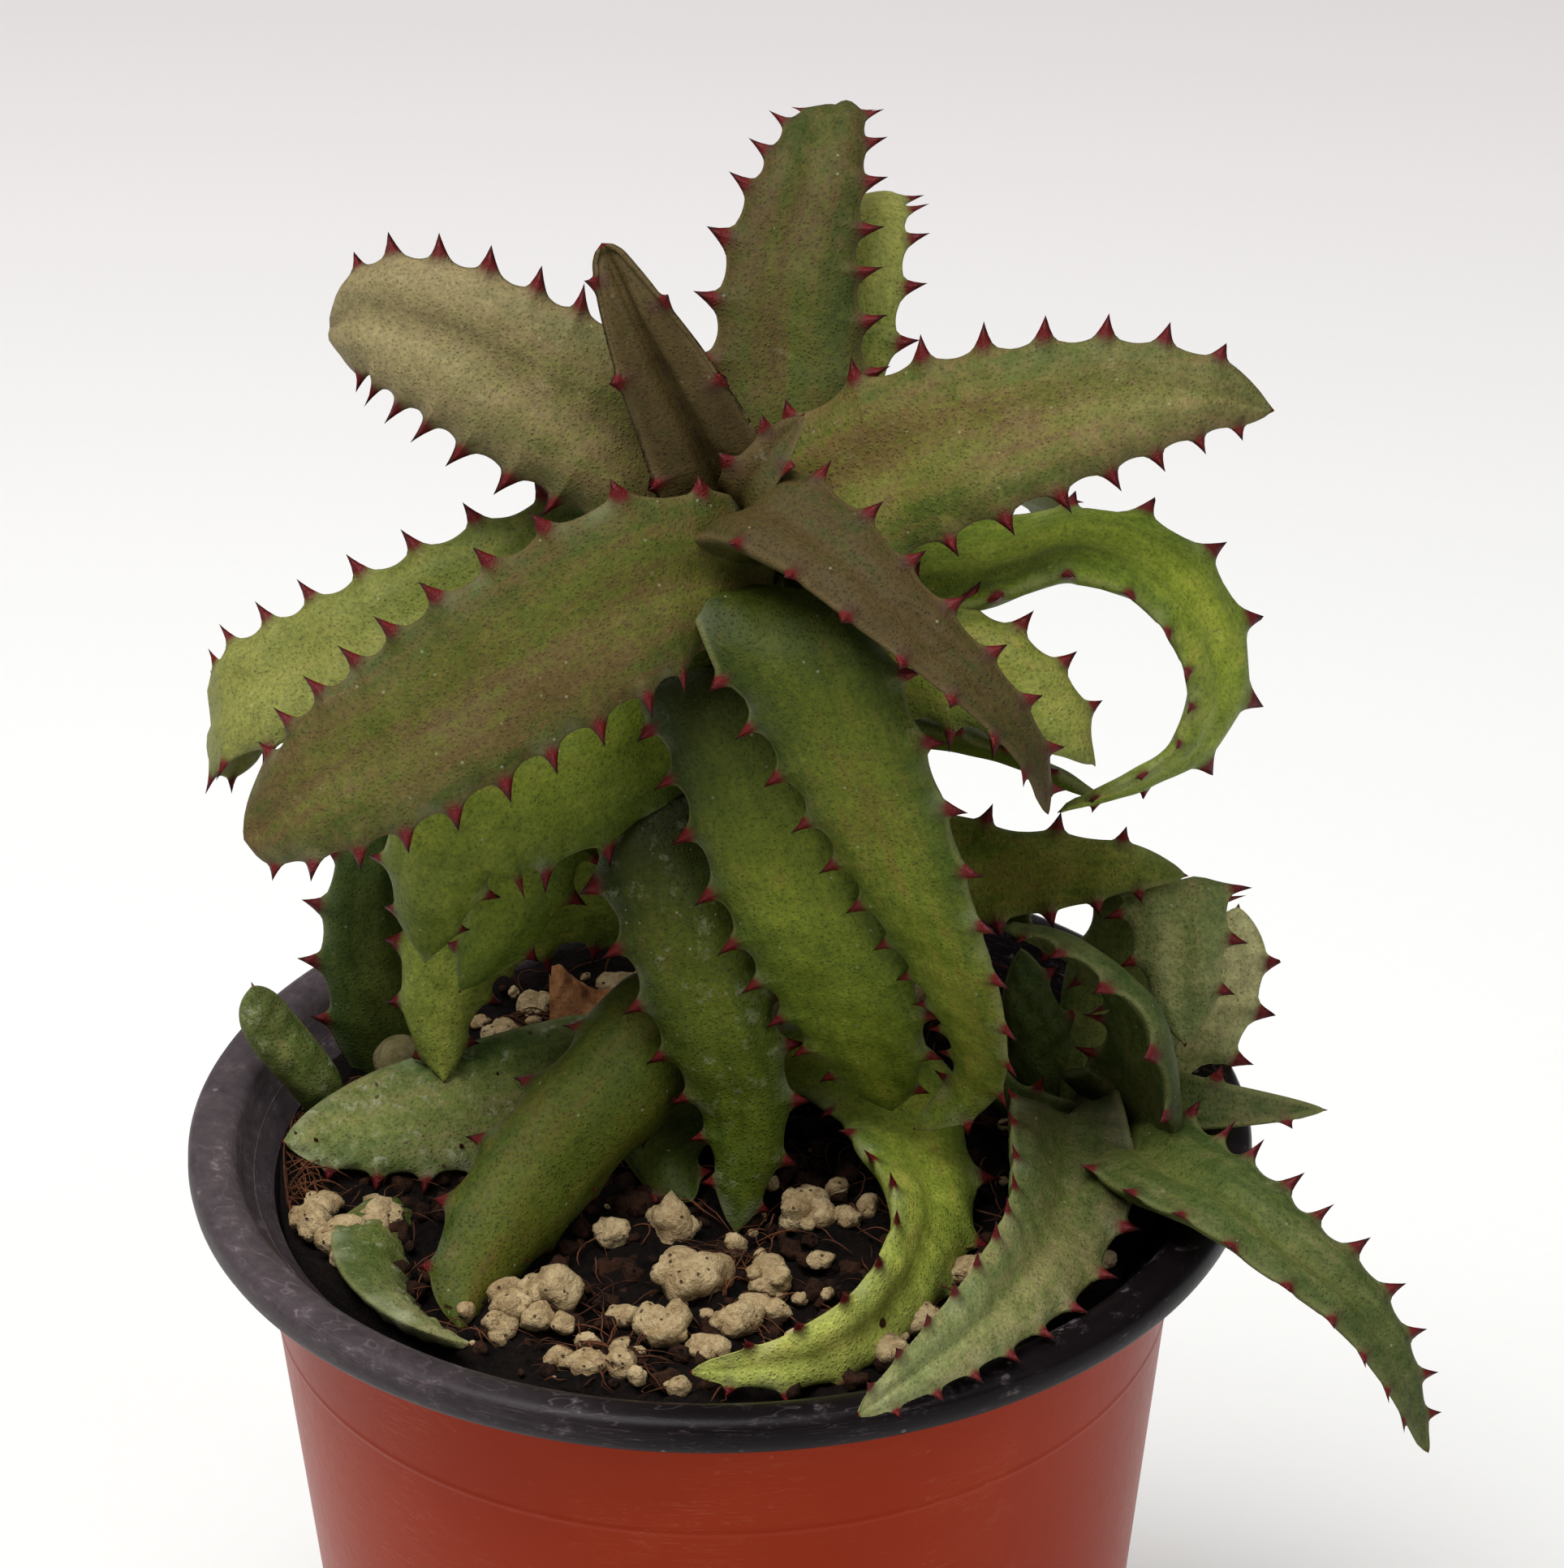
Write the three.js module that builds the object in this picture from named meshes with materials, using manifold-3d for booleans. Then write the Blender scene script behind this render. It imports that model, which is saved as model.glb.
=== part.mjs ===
// A potted Aloe castilloniae: a plastic nursery pot, its soil with pumice, one tall stem of
// recurved toothed leaves, and two young offsets at its foot. Millimetres, +Z up. The origin is
// the centre of the pot's foot, and -Y is the side that the tall stem leans towards.

import * as THREE from "three";
import { mergeVertices } from "three/addons/utils/BufferGeometryUtils.js";
import Module from "manifold-3d";

const wasm = await Module();
wasm.setup();

// Gap between pieces that touch in the real plant.
const GAP = 0.3;

// Numbers that scatter the repeatable noise.
const NOISE = { step: 127.1, seedStep: 311.7, scale: 43758.5453 };

// The pot: a thin tapered wall under a thick rolled lip, on a ring foot round a drained channel.
const POT = {
  height: 88,
  lipRadius: 50,
  lipThroat: 45.2,
  lipDepth: 3.6,
  wallTopRadius: 44.2,
  wallTaper: 0.11,
  wall: 1.6,
  footWidth: 4,
  footHeight: 2.4,
  floor: 2,
  hubRadius: 11,
  footSlope: 1,
  drainHoles: 6,
  drainRadius: 3.2,
  drainRing: 20,
  sides: 40,
};

// The lip's section from below outside to below inside: inset from the lip's radius, depth under
// the rim, and which way a swollen lip moves there, outward and up.
const LIP_SECTION = [
  [0.6, POT.lipDepth, 1, -1], [0, 2.7, 1, 0], [0.2, 1, 1, 0], [2.4, 0, 1, 1], [4, 0.4, -1, 1],
  [POT.lipRadius - POT.lipThroat, 1.4, -1, 0],
];

// The tool that clears a drain hole.
const DRILL = { length: 20, sides: 12 };

// The soil: how far its edge lies below the rim, and how it mounds and heaves in waves.
const SOIL = {
  edgeDepth: 5.6,
  mound: 2.2,
  heave: 0.6,
  wave: [0.31, 0.27],
  crossWave: [0.13, -0.41],
  crossShare: 0.5,
  sides: 24,
  rings: [12, 23, 34],
  seed: 7,
};

// Pumice grains: how far each is sunk, how rough it is, and how flat.
const GRAIN = { sink: 0.3, leastReach: 0.86, roughness: 0.28, flatness: 0.85, cornerKey: [70, 130, 290] };

// Pumice grains on the soil: x, y and diameter.
const PUMICE = [
  [-38, -10.5, 4.2], [-37, -7.5, 3.4], [-34.5, -13, 4], [-31.5, -10.5, 3.8], [-34.5, -17.5, 3],
  [-4.5, -13, 5], [-2, -22.5, 6.2], [-5.5, -28.5, 5], [-1, -32, 3.6], [1.5, -28.5, 4.4],
  [4.5, -22, 4.2], [8, -10.5, 4.4], [-10, -14, 3.4], [-15, -24, 4.4], [-19, -26, 3.4],
  [-14.5, -33.5, 3], [23, -20, 3.8], [19, -28.5, 4], [15.5, -33.5, 3.2], [34.5, -18.5, 4],
  [-21, 20.5, 4.2], [-18, 27.5, 3.6], [-10, 31, 4.2], [6, 33, 4.6], [20, 29, 3.8],
  [29, 21, 4.2], [-27, 28, 3.8], [12, 24, 3.4],
];

// The stems: middle lines and radii from the soil up, and how far the rounded top rises.
const STEM_SIDES = 9;
const STEM_TOP = 1;
const STEMS = [
  {
    name: "stem_main",
    line: [[0, 10, 74], [1, 9, 90], [2.5, 7.5, 112], [3.5, 5.5, 134], [4, 4, 148]],
    radii: [5.2, 4.8, 4.4, 3.8, 2.2],
  },
  {
    name: "stem_offset_right",
    line: [[34, 8, 74], [35, 6, 82], [36.5, 3, 89]],
    radii: [4.2, 3.8, 2.6],
  },
  {
    name: "stem_offset_left",
    line: [[-26, 16, 74], [-28.5, 14.5, 82], [-31, 12.5, 88.5]],
    radii: [4, 3.6, 2.4],
  },
];

// Leaf section and station counts, and how width and thickness change along a blade.
const LEAF = {
  stations: 10,
  tipCrowding: 1.3,
  upperStops: [0.55, 0, -0.55],
  lowerStops: [-0.62, 0, 0.62],
  baseRise: 0.3,
  taperPower: 0.72,
  thinning: 0.38,
  leastThickness: 1,
  edgeDepth: 0.32,
  leastStep: 0.004,
};

// Margin teeth: four-sided points that lean towards the blade's tip.
// The spread is the pitch at a blade's foot and tip, as a share of the blade's own pitch.
const TOOTH = {
  height: 2.1, halfBase: 1.15, inset: 1, leastSize: 0.7, leanDegrees: 24, endClear: 2.3,
  spread: [1.32, 0.75],
};

// Where a blade's right margin points, seen on its upper face with the tip away from the viewer.
const RIGHT = [1, 0, 0];
const LEFT = [-1, 0, 0];

// Each blade: its upper face's middle line from stem to tip, its right margin's direction at the
// base and tip, width, thickness, and the curl of its margins in degrees at base and tip, where
// plus is a channel and minus is rolled under. blunt shapes the tip, with round where its end is
// rounder than most, and base is the foot's width as a share of the blade's. teeth gives the first
// tooth's distance from the foot and the pitch.
const LEAVES = [
  {
    name: "leaf_spear", tone: "upper",
    spine: [
      [3, 4.5, 147.5], [1.5, 2.2, 152], [-0.5, 1.5, 158], [-3, 1.5, 164], [-6.5, 3, 171],
      [-9.5, 6.5, 176.5],
    ],
    across: [0.88, 0.1, 0.42], width: 10.5, thickness: 3, curl: [72, 64], blunt: 1.8, base: 0.95,
    teeth: { right: [9, 8], left: [12, 9] },
  },
  {
    name: "leaf_bud", tone: "upper",
    spine: [[3, 1.5, 151], [3, -1.3, 155.5], [5.3, -0.5, 159.3], [8.2, 3, 161.2]],
    across: [0.5, -0.6, -0.6], width: 5.6, thickness: 2.4, curl: [60, 40], blunt: 1.5, base: 0.8,
    teeth: { right: [5, 4], left: [7, 4] },
  },
  {
    name: "leaf_top", tone: "upper",
    spine: [
      [4.5, 7, 149], [7, 8.5, 155.5], [7, 13, 163], [7.5, 18, 170], [9.3, 23, 175.6],
      [11.2, 31, 178.6], [12.3, 38, 174.3],
    ],
    across: RIGHT, width: 15, thickness: 4.2, curl: [20, 9], blunt: 1.85, base: 0.85,
    teeth: { right: [7.3, 4.6], left: [9.2, 4.6] },
  },
  {
    name: "leaf_front", tone: "upper",
    spine: [
      [2.2, 3, 148.5], [3.4, -2.5, 155.2], [9.3, -9.5, 155.5], [15.4, -15.5, 152.5], [21, -19, 148.5],
      [25.5, -21.3, 144.6], [28.7, -21.8, 139.5], [29.9, -20, 133],
    ],
    across: [-0.74, -0.6, -0.3], acrossTip: [-0.75, -0.6, -0.2], width: 11.9, thickness: 3.8,
    curl: [38, 34], blunt: 0.98, base: 1,
    teeth: { right: [6.5, 5.6], left: [6, 5.6] },
  },
  {
    name: "leaf_lower_left", tone: "upper",
    spine: [
      [5.5, 0.5, 145.5], [2.5, -3, 148.5], [-1.5, -6, 149.8], [-7, -8.6, 149.4], [-17, -12, 145],
      [-27, -15, 139.2], [-36.8, -15.6, 132.9], [-42.6, -13.2, 127.2],
    ],
    across: [0.1, 0.5, 0.86], width: 17, thickness: 4.4, curl: [14, 10], blunt: 5, round: 0.52, base: 0.6,
    teeth: { right: [9, 4.9], left: [8, 4.9] },
  },
  {
    name: "leaf_right", tone: "upper",
    spine: [
      [4.5, 4, 147.5], [9, 3, 152.3], [16, 2, 156.8], [26, 1, 160.9], [37.5, 2, 163.2], [45, 3, 163],
      [50.6, 4.6, 160.6],
    ],
    across: [0.1, -0.55, -0.83], width: 16.8, thickness: 4.4, curl: [14, 16], blunt: 2.5, base: 0.8,
    teeth: { right: [12, 5.2], left: [8, 5.2] },
  },
  {
    name: "leaf_left", tone: "upper",
    spine: [
      [3.5, 6, 148], [-2, 6, 153.5], [-8, 5.5, 158.5], [-16, 7, 162.3], [-24.5, 10, 165.7],
      [-31, 13.5, 166.2], [-35.2, 18.5, 162.8],
    ],
    across: [0.1, 0.45, 0.88], width: 16.5, thickness: 4.2, curl: [12, 6],
    blunt: 4.2, round: 0.52, base: 0.75,
    teeth: { right: [14, 4.4], left: [13, 4.4] },
  },
  {
    name: "leaf_top_back", tone: "lower",
    spine: [
      [4.5, 8, 146], [7, 13, 152.8], [10.2, 18, 158.6], [12.4, 24, 165], [13.7, 30, 168.3],
      [14.9, 37, 166.9], [15, 43, 161.4],
    ],
    across: RIGHT, width: 12.5, thickness: 3.8, curl: [14, 6], blunt: 2.6, base: 0.7,
    teeth: { right: [9.3, 4.9], left: [11.4, 5] },
  },
  {
    name: "leaf_down", tone: "lower",
    spine: [
      [3.5, 1, 144.6], [5, -6, 148.1], [8, -12, 144.8], [12.5, -16, 135], [17.5, -17.5, 122.5],
      [22, -16.5, 110], [23, -12, 99.5], [18, -9, 93],
    ],
    across: LEFT, acrossTip: [-0.62, 0.75, 0.1], width: 15.5, thickness: 4.4, curl: [-6, 16],
    blunt: 2, base: 0.8,
    teeth: { right: [14, 4.9], left: [14, 5.4] },
  },
  {
    name: "leaf_ring", tone: "lower",
    spine: [
      [4, 5, 140], [9, 7, 143], [16.5, 8, 143.5], [25, 6, 145], [33.5, 5, 147.5], [40.5, 4, 145.5],
      [45.2, 3, 139.8], [46.5, 1.5, 133.2], [43.8, -0.5, 128], [38.5, -2.5, 125.6], [31.5, -4.5, 124],
    ],
    across: [0, -0.85, -0.5], acrossTip: [-1.3, -1.2, 0.5], width: 13, thickness: 4, curl: [14, 24],
    blunt: 2.6, base: 0.75,
    teeth: { right: [24, 6], left: [30, 6] },
  },
  {
    name: "leaf_down_inner", tone: "lower",
    spine: [
      [2, 3, 132], [0, -3, 138.6], [2.4, -7.6, 134.6], [6, -11, 124], [10, -12.5, 113.5],
      [14, -11, 102.5], [16, -8.5, 94.6],
    ],
    across: [-1, 0.1, 0], width: 15.5, thickness: 4.6, curl: [-8, 8], blunt: 6, base: 0.7,
    teeth: { right: [12, 5.2], left: [10, 5.2] },
  },
  {
    name: "leaf_left_back", tone: "lower",
    spine: [
      [3, 8, 139], [-2, 9, 143.3], [-9, 8, 144.4], [-17.5, 5.5, 143.6], [-28, 4, 139.8],
      [-38, 4, 135], [-45.3, 6, 130.3], [-46.5, 11, 124.5], [-42.5, 16, 121.5],
    ],
    across: [0, 0.55, 0.83], acrossTip: [0, 0.8, 0.6], width: 12.5, thickness: 3.8, curl: [8, 20],
    blunt: 6, round: 0.52, base: 0.7,
    teeth: { right: [12, 5.4], left: [15, 5.4] },
  },
  {
    name: "leaf_right_low", tone: "lower",
    spine: [
      [4, 4, 131.5], [9, 3, 137], [15.5, -1, 139.5], [23, -5, 139.5], [29, -7.5, 137.6],
      [33, -8.5, 134.6], [34.5, -8, 131.2],
    ],
    across: [-0.15, -0.55, -0.8], width: 14, thickness: 4, curl: [-8, -12], blunt: 3, base: 0.7,
    teeth: { right: [12, 5.4], left: [16, 5] },
  },
  {
    name: "leaf_right_under", tone: "lower",
    spine: [
      [3.5, 6, 123.5], [9, 7, 128], [17, 6.5, 128.6], [24, 5, 127.6], [30, 3, 125.6], [35.5, 1, 122.8],
    ],
    across: [-0.1, -0.85, 0.5], width: 12, thickness: 3.8, curl: [10, 10], blunt: 2.2, base: 0.7,
    teeth: { right: [16, 5], left: [18, 5] },
  },
  {
    name: "leaf_down_long", tone: "lower",
    spine: [
      [2, 6, 117], [-3, 2, 123], [-4.5, -3, 120], [-3, -7, 115], [-0.5, -10, 106], [2.5, -10.5, 94],
      [1.5, -12, 83.5],
    ],
    across: LEFT, width: 14, thickness: 4.2, curl: [-10, -16], blunt: 3.6, base: 0.65,
    teeth: { right: [10, 5.6], left: [13, 5.6] },
  },
  {
    name: "leaf_curl_front", tone: "lower",
    spine: [
      [2.5, 7, 127], [-1, 5, 130], [-7, 1, 129], [-14, -3, 127.5], [-20.5, -6.5, 126.6],
      [-24.6, -9.2, 123.5], [-26, -9, 117.5], [-26.8, -7.5, 110.5],
    ],
    across: [0, 0.3, 0.95], acrossTip: [-1.6, 0.1, 0.1], width: 16.5, thickness: 4.2, curl: [-8, -44],
    blunt: 5, base: 0.65,
    teeth: { right: [20, 6], left: [12, 5.4] },
  },
  {
    name: "leaf_curl_behind", tone: "lower",
    spine: [
      [2, 8, 120], [-3, 8.5, 121.5], [-8, 7.5, 122.5], [-13.5, 5.5, 122], [-17, 2.5, 118],
      [-19.5, 0.5, 111], [-24, -1, 103.5],
    ],
    across: [0, 0.4, 0.9], acrossTip: [-1.6, 0.2, 0.3], width: 14, thickness: 4, curl: [-8, -40],
    blunt: 4, base: 0.65,
    teeth: { right: [12, 6], left: [15, 6] },
  },
  {
    name: "leaf_curl_low", tone: "lower",
    spine: [
      [1.5, 9, 108], [-4, 9.5, 110], [-11.5, 9.5, 109.5], [-18.5, 8.8, 107.5], [-24.5, 7.2, 103],
      [-26.5, 5.6, 96.5], [-26, 4, 90.5],
    ],
    across: [0, 0.3, 0.95], acrossTip: [-1.6, 0.2, 0.3], width: 15, thickness: 4.2, curl: [-10, -46],
    blunt: 4.6, base: 0.7,
    teeth: { right: [9, 5], left: [15, 6] },
  },
  {
    name: "leaf_low_tube", tone: "lower",
    spine: [
      [1.5, 6, 97.5], [-1, -0.4, 101.5], [-6.2, -7.2, 99.5], [-13.2, -13.4, 94.5], [-19, -19.4, 89.5],
      [-22.4, -24.3, 85.6], [-23.6, -27.2, 83.2],
    ],
    across: [-0.55, 0.25, 0.8], width: 18, thickness: 4.6, curl: [-70, -60], blunt: 6.5, base: 0.9,
    teeth: { right: [18, 6.5], left: [21, 7] },
  },
  {
    name: "leaf_right_far", tone: "lower",
    spine: [
      [3.5, 8, 111], [9, 10, 112.3], [16, 10, 110.8], [24, 9, 110], [32, 7, 111.3], [39, 5, 112.6],
      [43.5, 4.5, 112.1],
    ],
    across: [0, -0.6, -0.8], width: 11, thickness: 4, curl: [-10, 24], blunt: 2.2, base: 0.7,
    teeth: { right: [18, 5], left: [22, 7] },
  },
  {
    name: "leaf_hook", tone: "lower",
    spine: [
      [3.5, 5, 92], [10, 4, 94], [16, -1, 92.5], [18.5, -8, 90], [19.5, -17, 89], [18, -26, 88.5],
      [13.5, -34, 87.5], [6.5, -38.5, 86.8], [-2.5, -39.5, 86.5],
    ],
    across: [-0.5, -0.6, -0.3], acrossTip: [0, 0.3, 0.95], width: 13.5, thickness: 3.8, curl: [10, 30],
    blunt: 2, base: 0.7,
    teeth: { right: [14, 6], left: [17, 6] },
  },
  {
    name: "leaf_dark_low", tone: "lower",
    spine: [[-3.5, 4, 90.5], [-5.3, -1, 90.2], [-5, -5.5, 88], [-2.6, -9.5, 85.6]],
    across: LEFT, width: 11.5, thickness: 3.6, curl: [-10, -10], blunt: 2, base: 0.7,
    teeth: { right: [8, 5], left: [8, 5] },
  },
  {
    name: "leaf_back_right", tone: "lower",
    spine: [[4, 8, 142], [10, 14, 145], [18, 22, 146], [26, 29, 143], [32, 34, 136], [34, 36, 128]],
    across: [0.75, -0.66, 0], width: 14, thickness: 4.2, curl: [10, 10], blunt: 2.4, base: 0.7,
    teeth: { right: [11, 5.2], left: [13, 5.2] },
  },
  {
    name: "leaf_back_left", tone: "lower",
    spine: [
      [2, 9, 135], [-4, 16, 138], [-12, 24, 138.5], [-20, 31, 135], [-26, 36, 128], [-28, 38, 120],
    ],
    across: [0.7, 0.7, 0], width: 14, thickness: 4.2, curl: [10, 10], blunt: 2.4, base: 0.7,
    teeth: { right: [11, 5.2], left: [13, 5.2] },
  },
  {
    name: "leaf_back_middle", tone: "lower",
    spine: [[3, 9, 128], [4, 16, 131], [5, 26, 131], [6, 35, 126], [6.5, 41, 118], [6, 43, 110]],
    across: RIGHT, width: 14, thickness: 4.2, curl: [10, 10], blunt: 2.4, base: 0.7,
    teeth: { right: [11, 5.2], left: [13, 5.2] },
  },
  {
    name: "leaf_back_low", tone: "lower",
    spine: [[1, 11, 112], [-6, 18, 114], [-14, 26, 113], [-20, 32, 107], [-23, 35, 99], [-22, 34, 92]],
    across: [0.7, 0.65, 0], width: 13.5, thickness: 4.2, curl: [8, 10], blunt: 2.2, base: 0.7,
    teeth: { right: [11, 5.2], left: [13, 5.2] },
  },
  {
    name: "leaf_back_foot", tone: "lower",
    spine: [[3, 11, 103], [10, 17, 106], [18, 24, 105], [25, 30, 100], [29, 33, 93], [29, 33, 88]],
    across: [0.7, -0.7, 0], width: 13.5, thickness: 4.2, curl: [8, 10], blunt: 2.2, base: 0.7,
    teeth: { right: [11, 5.2], left: [13, 5.2] },
  },
  {
    name: "leaf_r_groove", tone: "offset",
    spine: [
      [36, 2, 87], [39, -3.5, 91], [39.5, -6, 97.5], [38.5, -6.5, 104], [34.5, -4.5, 107.5],
      [30.5, -2, 109], [26.5, 0, 109],
    ],
    across: [0.6, -0.7, 0], acrossTip: [0, -0.7, 0.6], width: 12.6, thickness: 3.4, curl: [40, 60],
    blunt: 1.8, base: 0.8,
    teeth: { right: [8, 5], left: [12, 5] },
  },
  {
    name: "leaf_r_broad", tone: "offset",
    spine: [
      [36.5, 5, 85], [37.5, 9.5, 90.5], [39.5, 12, 98], [41.5, 11, 106], [42.5, 6, 110.5],
      [43, 1, 106], [43.5, -1, 97],
    ],
    across: [-1, 0.1, 0], width: 11.5, thickness: 3.6, curl: [10, 6], blunt: 5, base: 0.7,
    teeth: { right: [16, 5.5], left: [14, 5.5] },
  },
  {
    name: "leaf_r_fold", tone: "offset",
    spine: [
      [35, 2, 85], [32.5, -4, 91.5], [32, -13, 91.5], [30, -25, 91], [25, -37.5, 92.4],
      [19, -46.5, 92.4], [12.5, -53, 91],
    ],
    across: [-0.75, -0.6, 0.1], acrossTip: [-0.2, 0.5, 0.8], width: 13, thickness: 3.4, curl: [46, 40],
    blunt: 1.8, base: 0.45,
    teeth: { right: [12, 5], left: [24, 5.5] },
  },
  {
    name: "leaf_r_long", tone: "offset",
    spine: [
      [36, 1, 85.5], [38.5, -8, 90.5], [42, -16, 92.5], [47, -22.5, 93.2], [51, -26.5, 91.8],
      [57.5, -30, 87.8], [62, -31.5, 81], [65, -31, 71.5],
    ],
    across: [-0.4, -0.9, 0.1], acrossTip: [-0.6, -0.7, -0.2], width: 12.5, thickness: 3.6,
    curl: [44, 30], blunt: 1.6, base: 0.5,
    teeth: { right: [15, 5], left: [12, 5] },
  },
  {
    name: "leaf_r_spike", tone: "offset",
    spine: [[37, 3, 86.5], [41, 0, 90], [47.5, -3, 91.5], [56.5, -3, 91]],
    across: [0, -0.8, -0.6], width: 6, thickness: 3, curl: [50, 30], blunt: 1.2, base: 0.8,
    teeth: { right: [9, 9], left: [12, 9] },
  },
  {
    name: "leaf_r_far", tone: "offset",
    spine: [[37, 7, 84.5], [41.5, 9, 86.7], [45.4, 11, 91], [48.2, 13, 96.3], [49.2, 15, 102.3]],
    across: [0.85, -0.2, -0.5], width: 8.5, thickness: 3.2, curl: [12, 6], blunt: 5, base: 0.8,
    teeth: { right: [6.3, 4.1], left: [20, 5] },
  },
  {
    name: "leaf_r_bumpy", tone: "offset",
    spine: [[34, 6, 85.5], [31, 7, 90], [29.5, 8, 95.5], [28.5, 10, 101]],
    across: RIGHT, width: 8.5, thickness: 3.4, curl: [-20, -20], blunt: 2.4, base: 0.8,
    teeth: { right: [9, 5], left: [6, 5] },
  },
  {
    name: "leaf_r_inner", tone: "offset",
    spine: [[34, 3, 84], [29.5, 0, 88], [26.5, -0.5, 91], [25, 1, 95]],
    across: [0.6, -0.3, 0.7], width: 7, thickness: 3, curl: [-20, -20], blunt: 2.2, base: 0.8,
    teeth: { right: [9, 5], left: [6, 5] },
  },
  {
    name: "leaf_r_back", tone: "offset",
    spine: [[35.5, 7, 84.5], [36, 14, 89], [37.5, 21, 91.5], [39.5, 28, 91]],
    across: [0.95, -0.2, 0], width: 9, thickness: 3.4, curl: [14, 10], blunt: 2, base: 0.8,
    teeth: { right: [7, 5], left: [9, 5] },
  },
  {
    name: "leaf_l_upright", tone: "offset",
    spine: [[-29.5, 15.5, 84], [-31.5, 15, 90.5], [-33, 15, 98], [-33, 16, 105.5], [-31.2, 18, 113]],
    across: [0.9, 0.3, 0], width: 12, thickness: 4.2, curl: [-30, -20], blunt: 2.6, base: 0.9,
    teeth: { right: [30, 5], left: [8, 5] },
  },
  {
    name: "leaf_l_flat", tone: "offset",
    spine: [
      [0, 9.5, 87.9], [-6.5, 8.4, 89.4], [-14, 5.6, 89.6], [-21.5, 2.8, 89.3], [-31, 0.8, 88.6],
      [-41, -0.6, 87],
    ],
    across: [0, 0.86, 0.5], width: 14.5, thickness: 3.4, curl: [-12, -14], blunt: 5, base: 0.45,
    teeth: { right: [60, 5], left: [20, 5] },
  },
  {
    name: "leaf_l_finger", tone: "offset",
    spine: [[-36, 7.2, 84], [-37.7, 6.6, 88.2], [-40, 6.2, 92], [-42.4, 6.6, 95.6], [-43.8, 7.6, 99]],
    across: [0.8, 0.4, 0.4], width: 6, thickness: 4.4, curl: [-30, -20], blunt: 9, base: 0.9,
    teeth: { right: [17, 5], left: [18, 5] },
  },
  {
    name: "leaf_l_rim", tone: "offset",
    spine: [
      [-29.5, -8, 84.6], [-31.2, -14.5, 85.3], [-30.6, -21.5, 85.8], [-27.5, -28.5, 86.1],
      [-22.6, -34, 86.3],
    ],
    across: [-0.9, -0.1, 0.4], acrossTip: [-0.5, -0.5, 0.7], width: 9, thickness: 3.2,
    curl: [-20, -20], blunt: 4, base: 0.8,
    teeth: { right: [40, 6], left: [10, 6] },
  },
];

// The withered leaf on the soil behind the stem's foot: a thin arched scrap with narrow ends,
// whose arch rises and falls in waves along it.
const DRY_LEAF = {
  centre: [-11, 25],
  length: 11,
  width: 9,
  endShare: 0.55,
  thickness: 0.8,
  height: 5.5,
  waveShare: 0.3,
  waveTurn: 7,
  stops: [-1, -0.4, 0.4, 1],
  stations: 6,
};

const TONES = {
  upper: { color: "#6f7240", roughness: 0.62, metalness: 0 },
  lower: { color: "#5f7d35", roughness: 0.58, metalness: 0 },
  offset: { color: "#62704a", roughness: 0.66, metalness: 0 },
  stem: { color: "#6b6a45", roughness: 0.85, metalness: 0 },
  pot: { color: "#b4512c", roughness: 0.45, metalness: 0 },
  soil: { color: "#3a2a22", roughness: 0.95, metalness: 0 },
  dry: { color: "#a8683a", roughness: 0.8, metalness: 0 },
};

// Solids and meshes

/** Turns corners and triangles into a solid whose faces point out. */
function closedSolid(vertices, faces) {
  const at = (index) => new THREE.Vector3().fromArray(vertices, index * 3);
  let volume = 0;
  for (const [a, b, c] of faces) volume += at(a).dot(at(b).cross(at(c)));
  const outward = volume < 0 ? faces.map(([a, b, c]) => [a, c, b]) : faces;
  const mesh = new wasm.Mesh({
    numProp: 3,
    vertProperties: new Float32Array(vertices),
    triVerts: new Uint32Array(outward.flat()),
  });
  return new wasm.Manifold(mesh);
}

/** Welds a three.js geometry and turns it into a solid. */
function geometrySolid(geometry) {
  geometry.deleteAttribute("normal");
  geometry.deleteAttribute("uv");
  const welded = mergeVertices(geometry, 1e-4);
  const index = welded.index.array;
  const faces = [];
  for (let i = 0; i < index.length; i += 3) {
    const [a, b, c] = index.slice(i, i + 3);
    if (a !== b && b !== c && c !== a) faces.push([a, b, c]);
  }
  return closedSolid([...welded.attributes.position.array], faces);
}

/** The largest of the separate bodies that a solid falls into. */
function largestBody(solid) {
  const bodies = solid.decompose();
  return bodies.reduce((best, body) => (body.volume() > best.volume() ? body : best));
}

/** A named mesh of a solid in one of the plant's tones. */
function solidMesh(name, solid, tone) {
  const { vertProperties, triVerts } = solid.getMesh();
  const geometry = new THREE.BufferGeometry();
  geometry.setAttribute("position", new THREE.BufferAttribute(new Float32Array(vertProperties), 3));
  geometry.setIndex(new THREE.BufferAttribute(new Uint32Array(triVerts), 1));
  const mesh = new THREE.Mesh(geometry, new THREE.MeshStandardMaterial(TONES[tone]));
  mesh.name = name;
  return mesh;
}

/** Joins rings of equal length into a closed skin between two end points. */
function skinRings(rings, start, end) {
  const size = rings[0].length;
  const vertices = [...rings.flat(), start, end].flatMap((point) => point.toArray());
  const startIndex = rings.length * size;
  const endIndex = startIndex + 1;
  const faces = [];
  for (let side = 0; side < size; side += 1) {
    const next = (side + 1) % size;
    faces.push([startIndex, next, side]);
    for (let ring = 0; ring + 1 < rings.length; ring += 1) {
      const low = ring * size;
      const high = low + size;
      faces.push([low + side, low + next, high + next], [low + side, high + next, high + side]);
    }
    const last = (rings.length - 1) * size;
    faces.push([last + side, last + next, endIndex]);
  }
  return closedSolid(vertices, faces);
}

/** Smooth step from 0 to 1. */
function ease(value) {
  return THREE.MathUtils.smoothstep(value, 0, 1);
}

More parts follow.
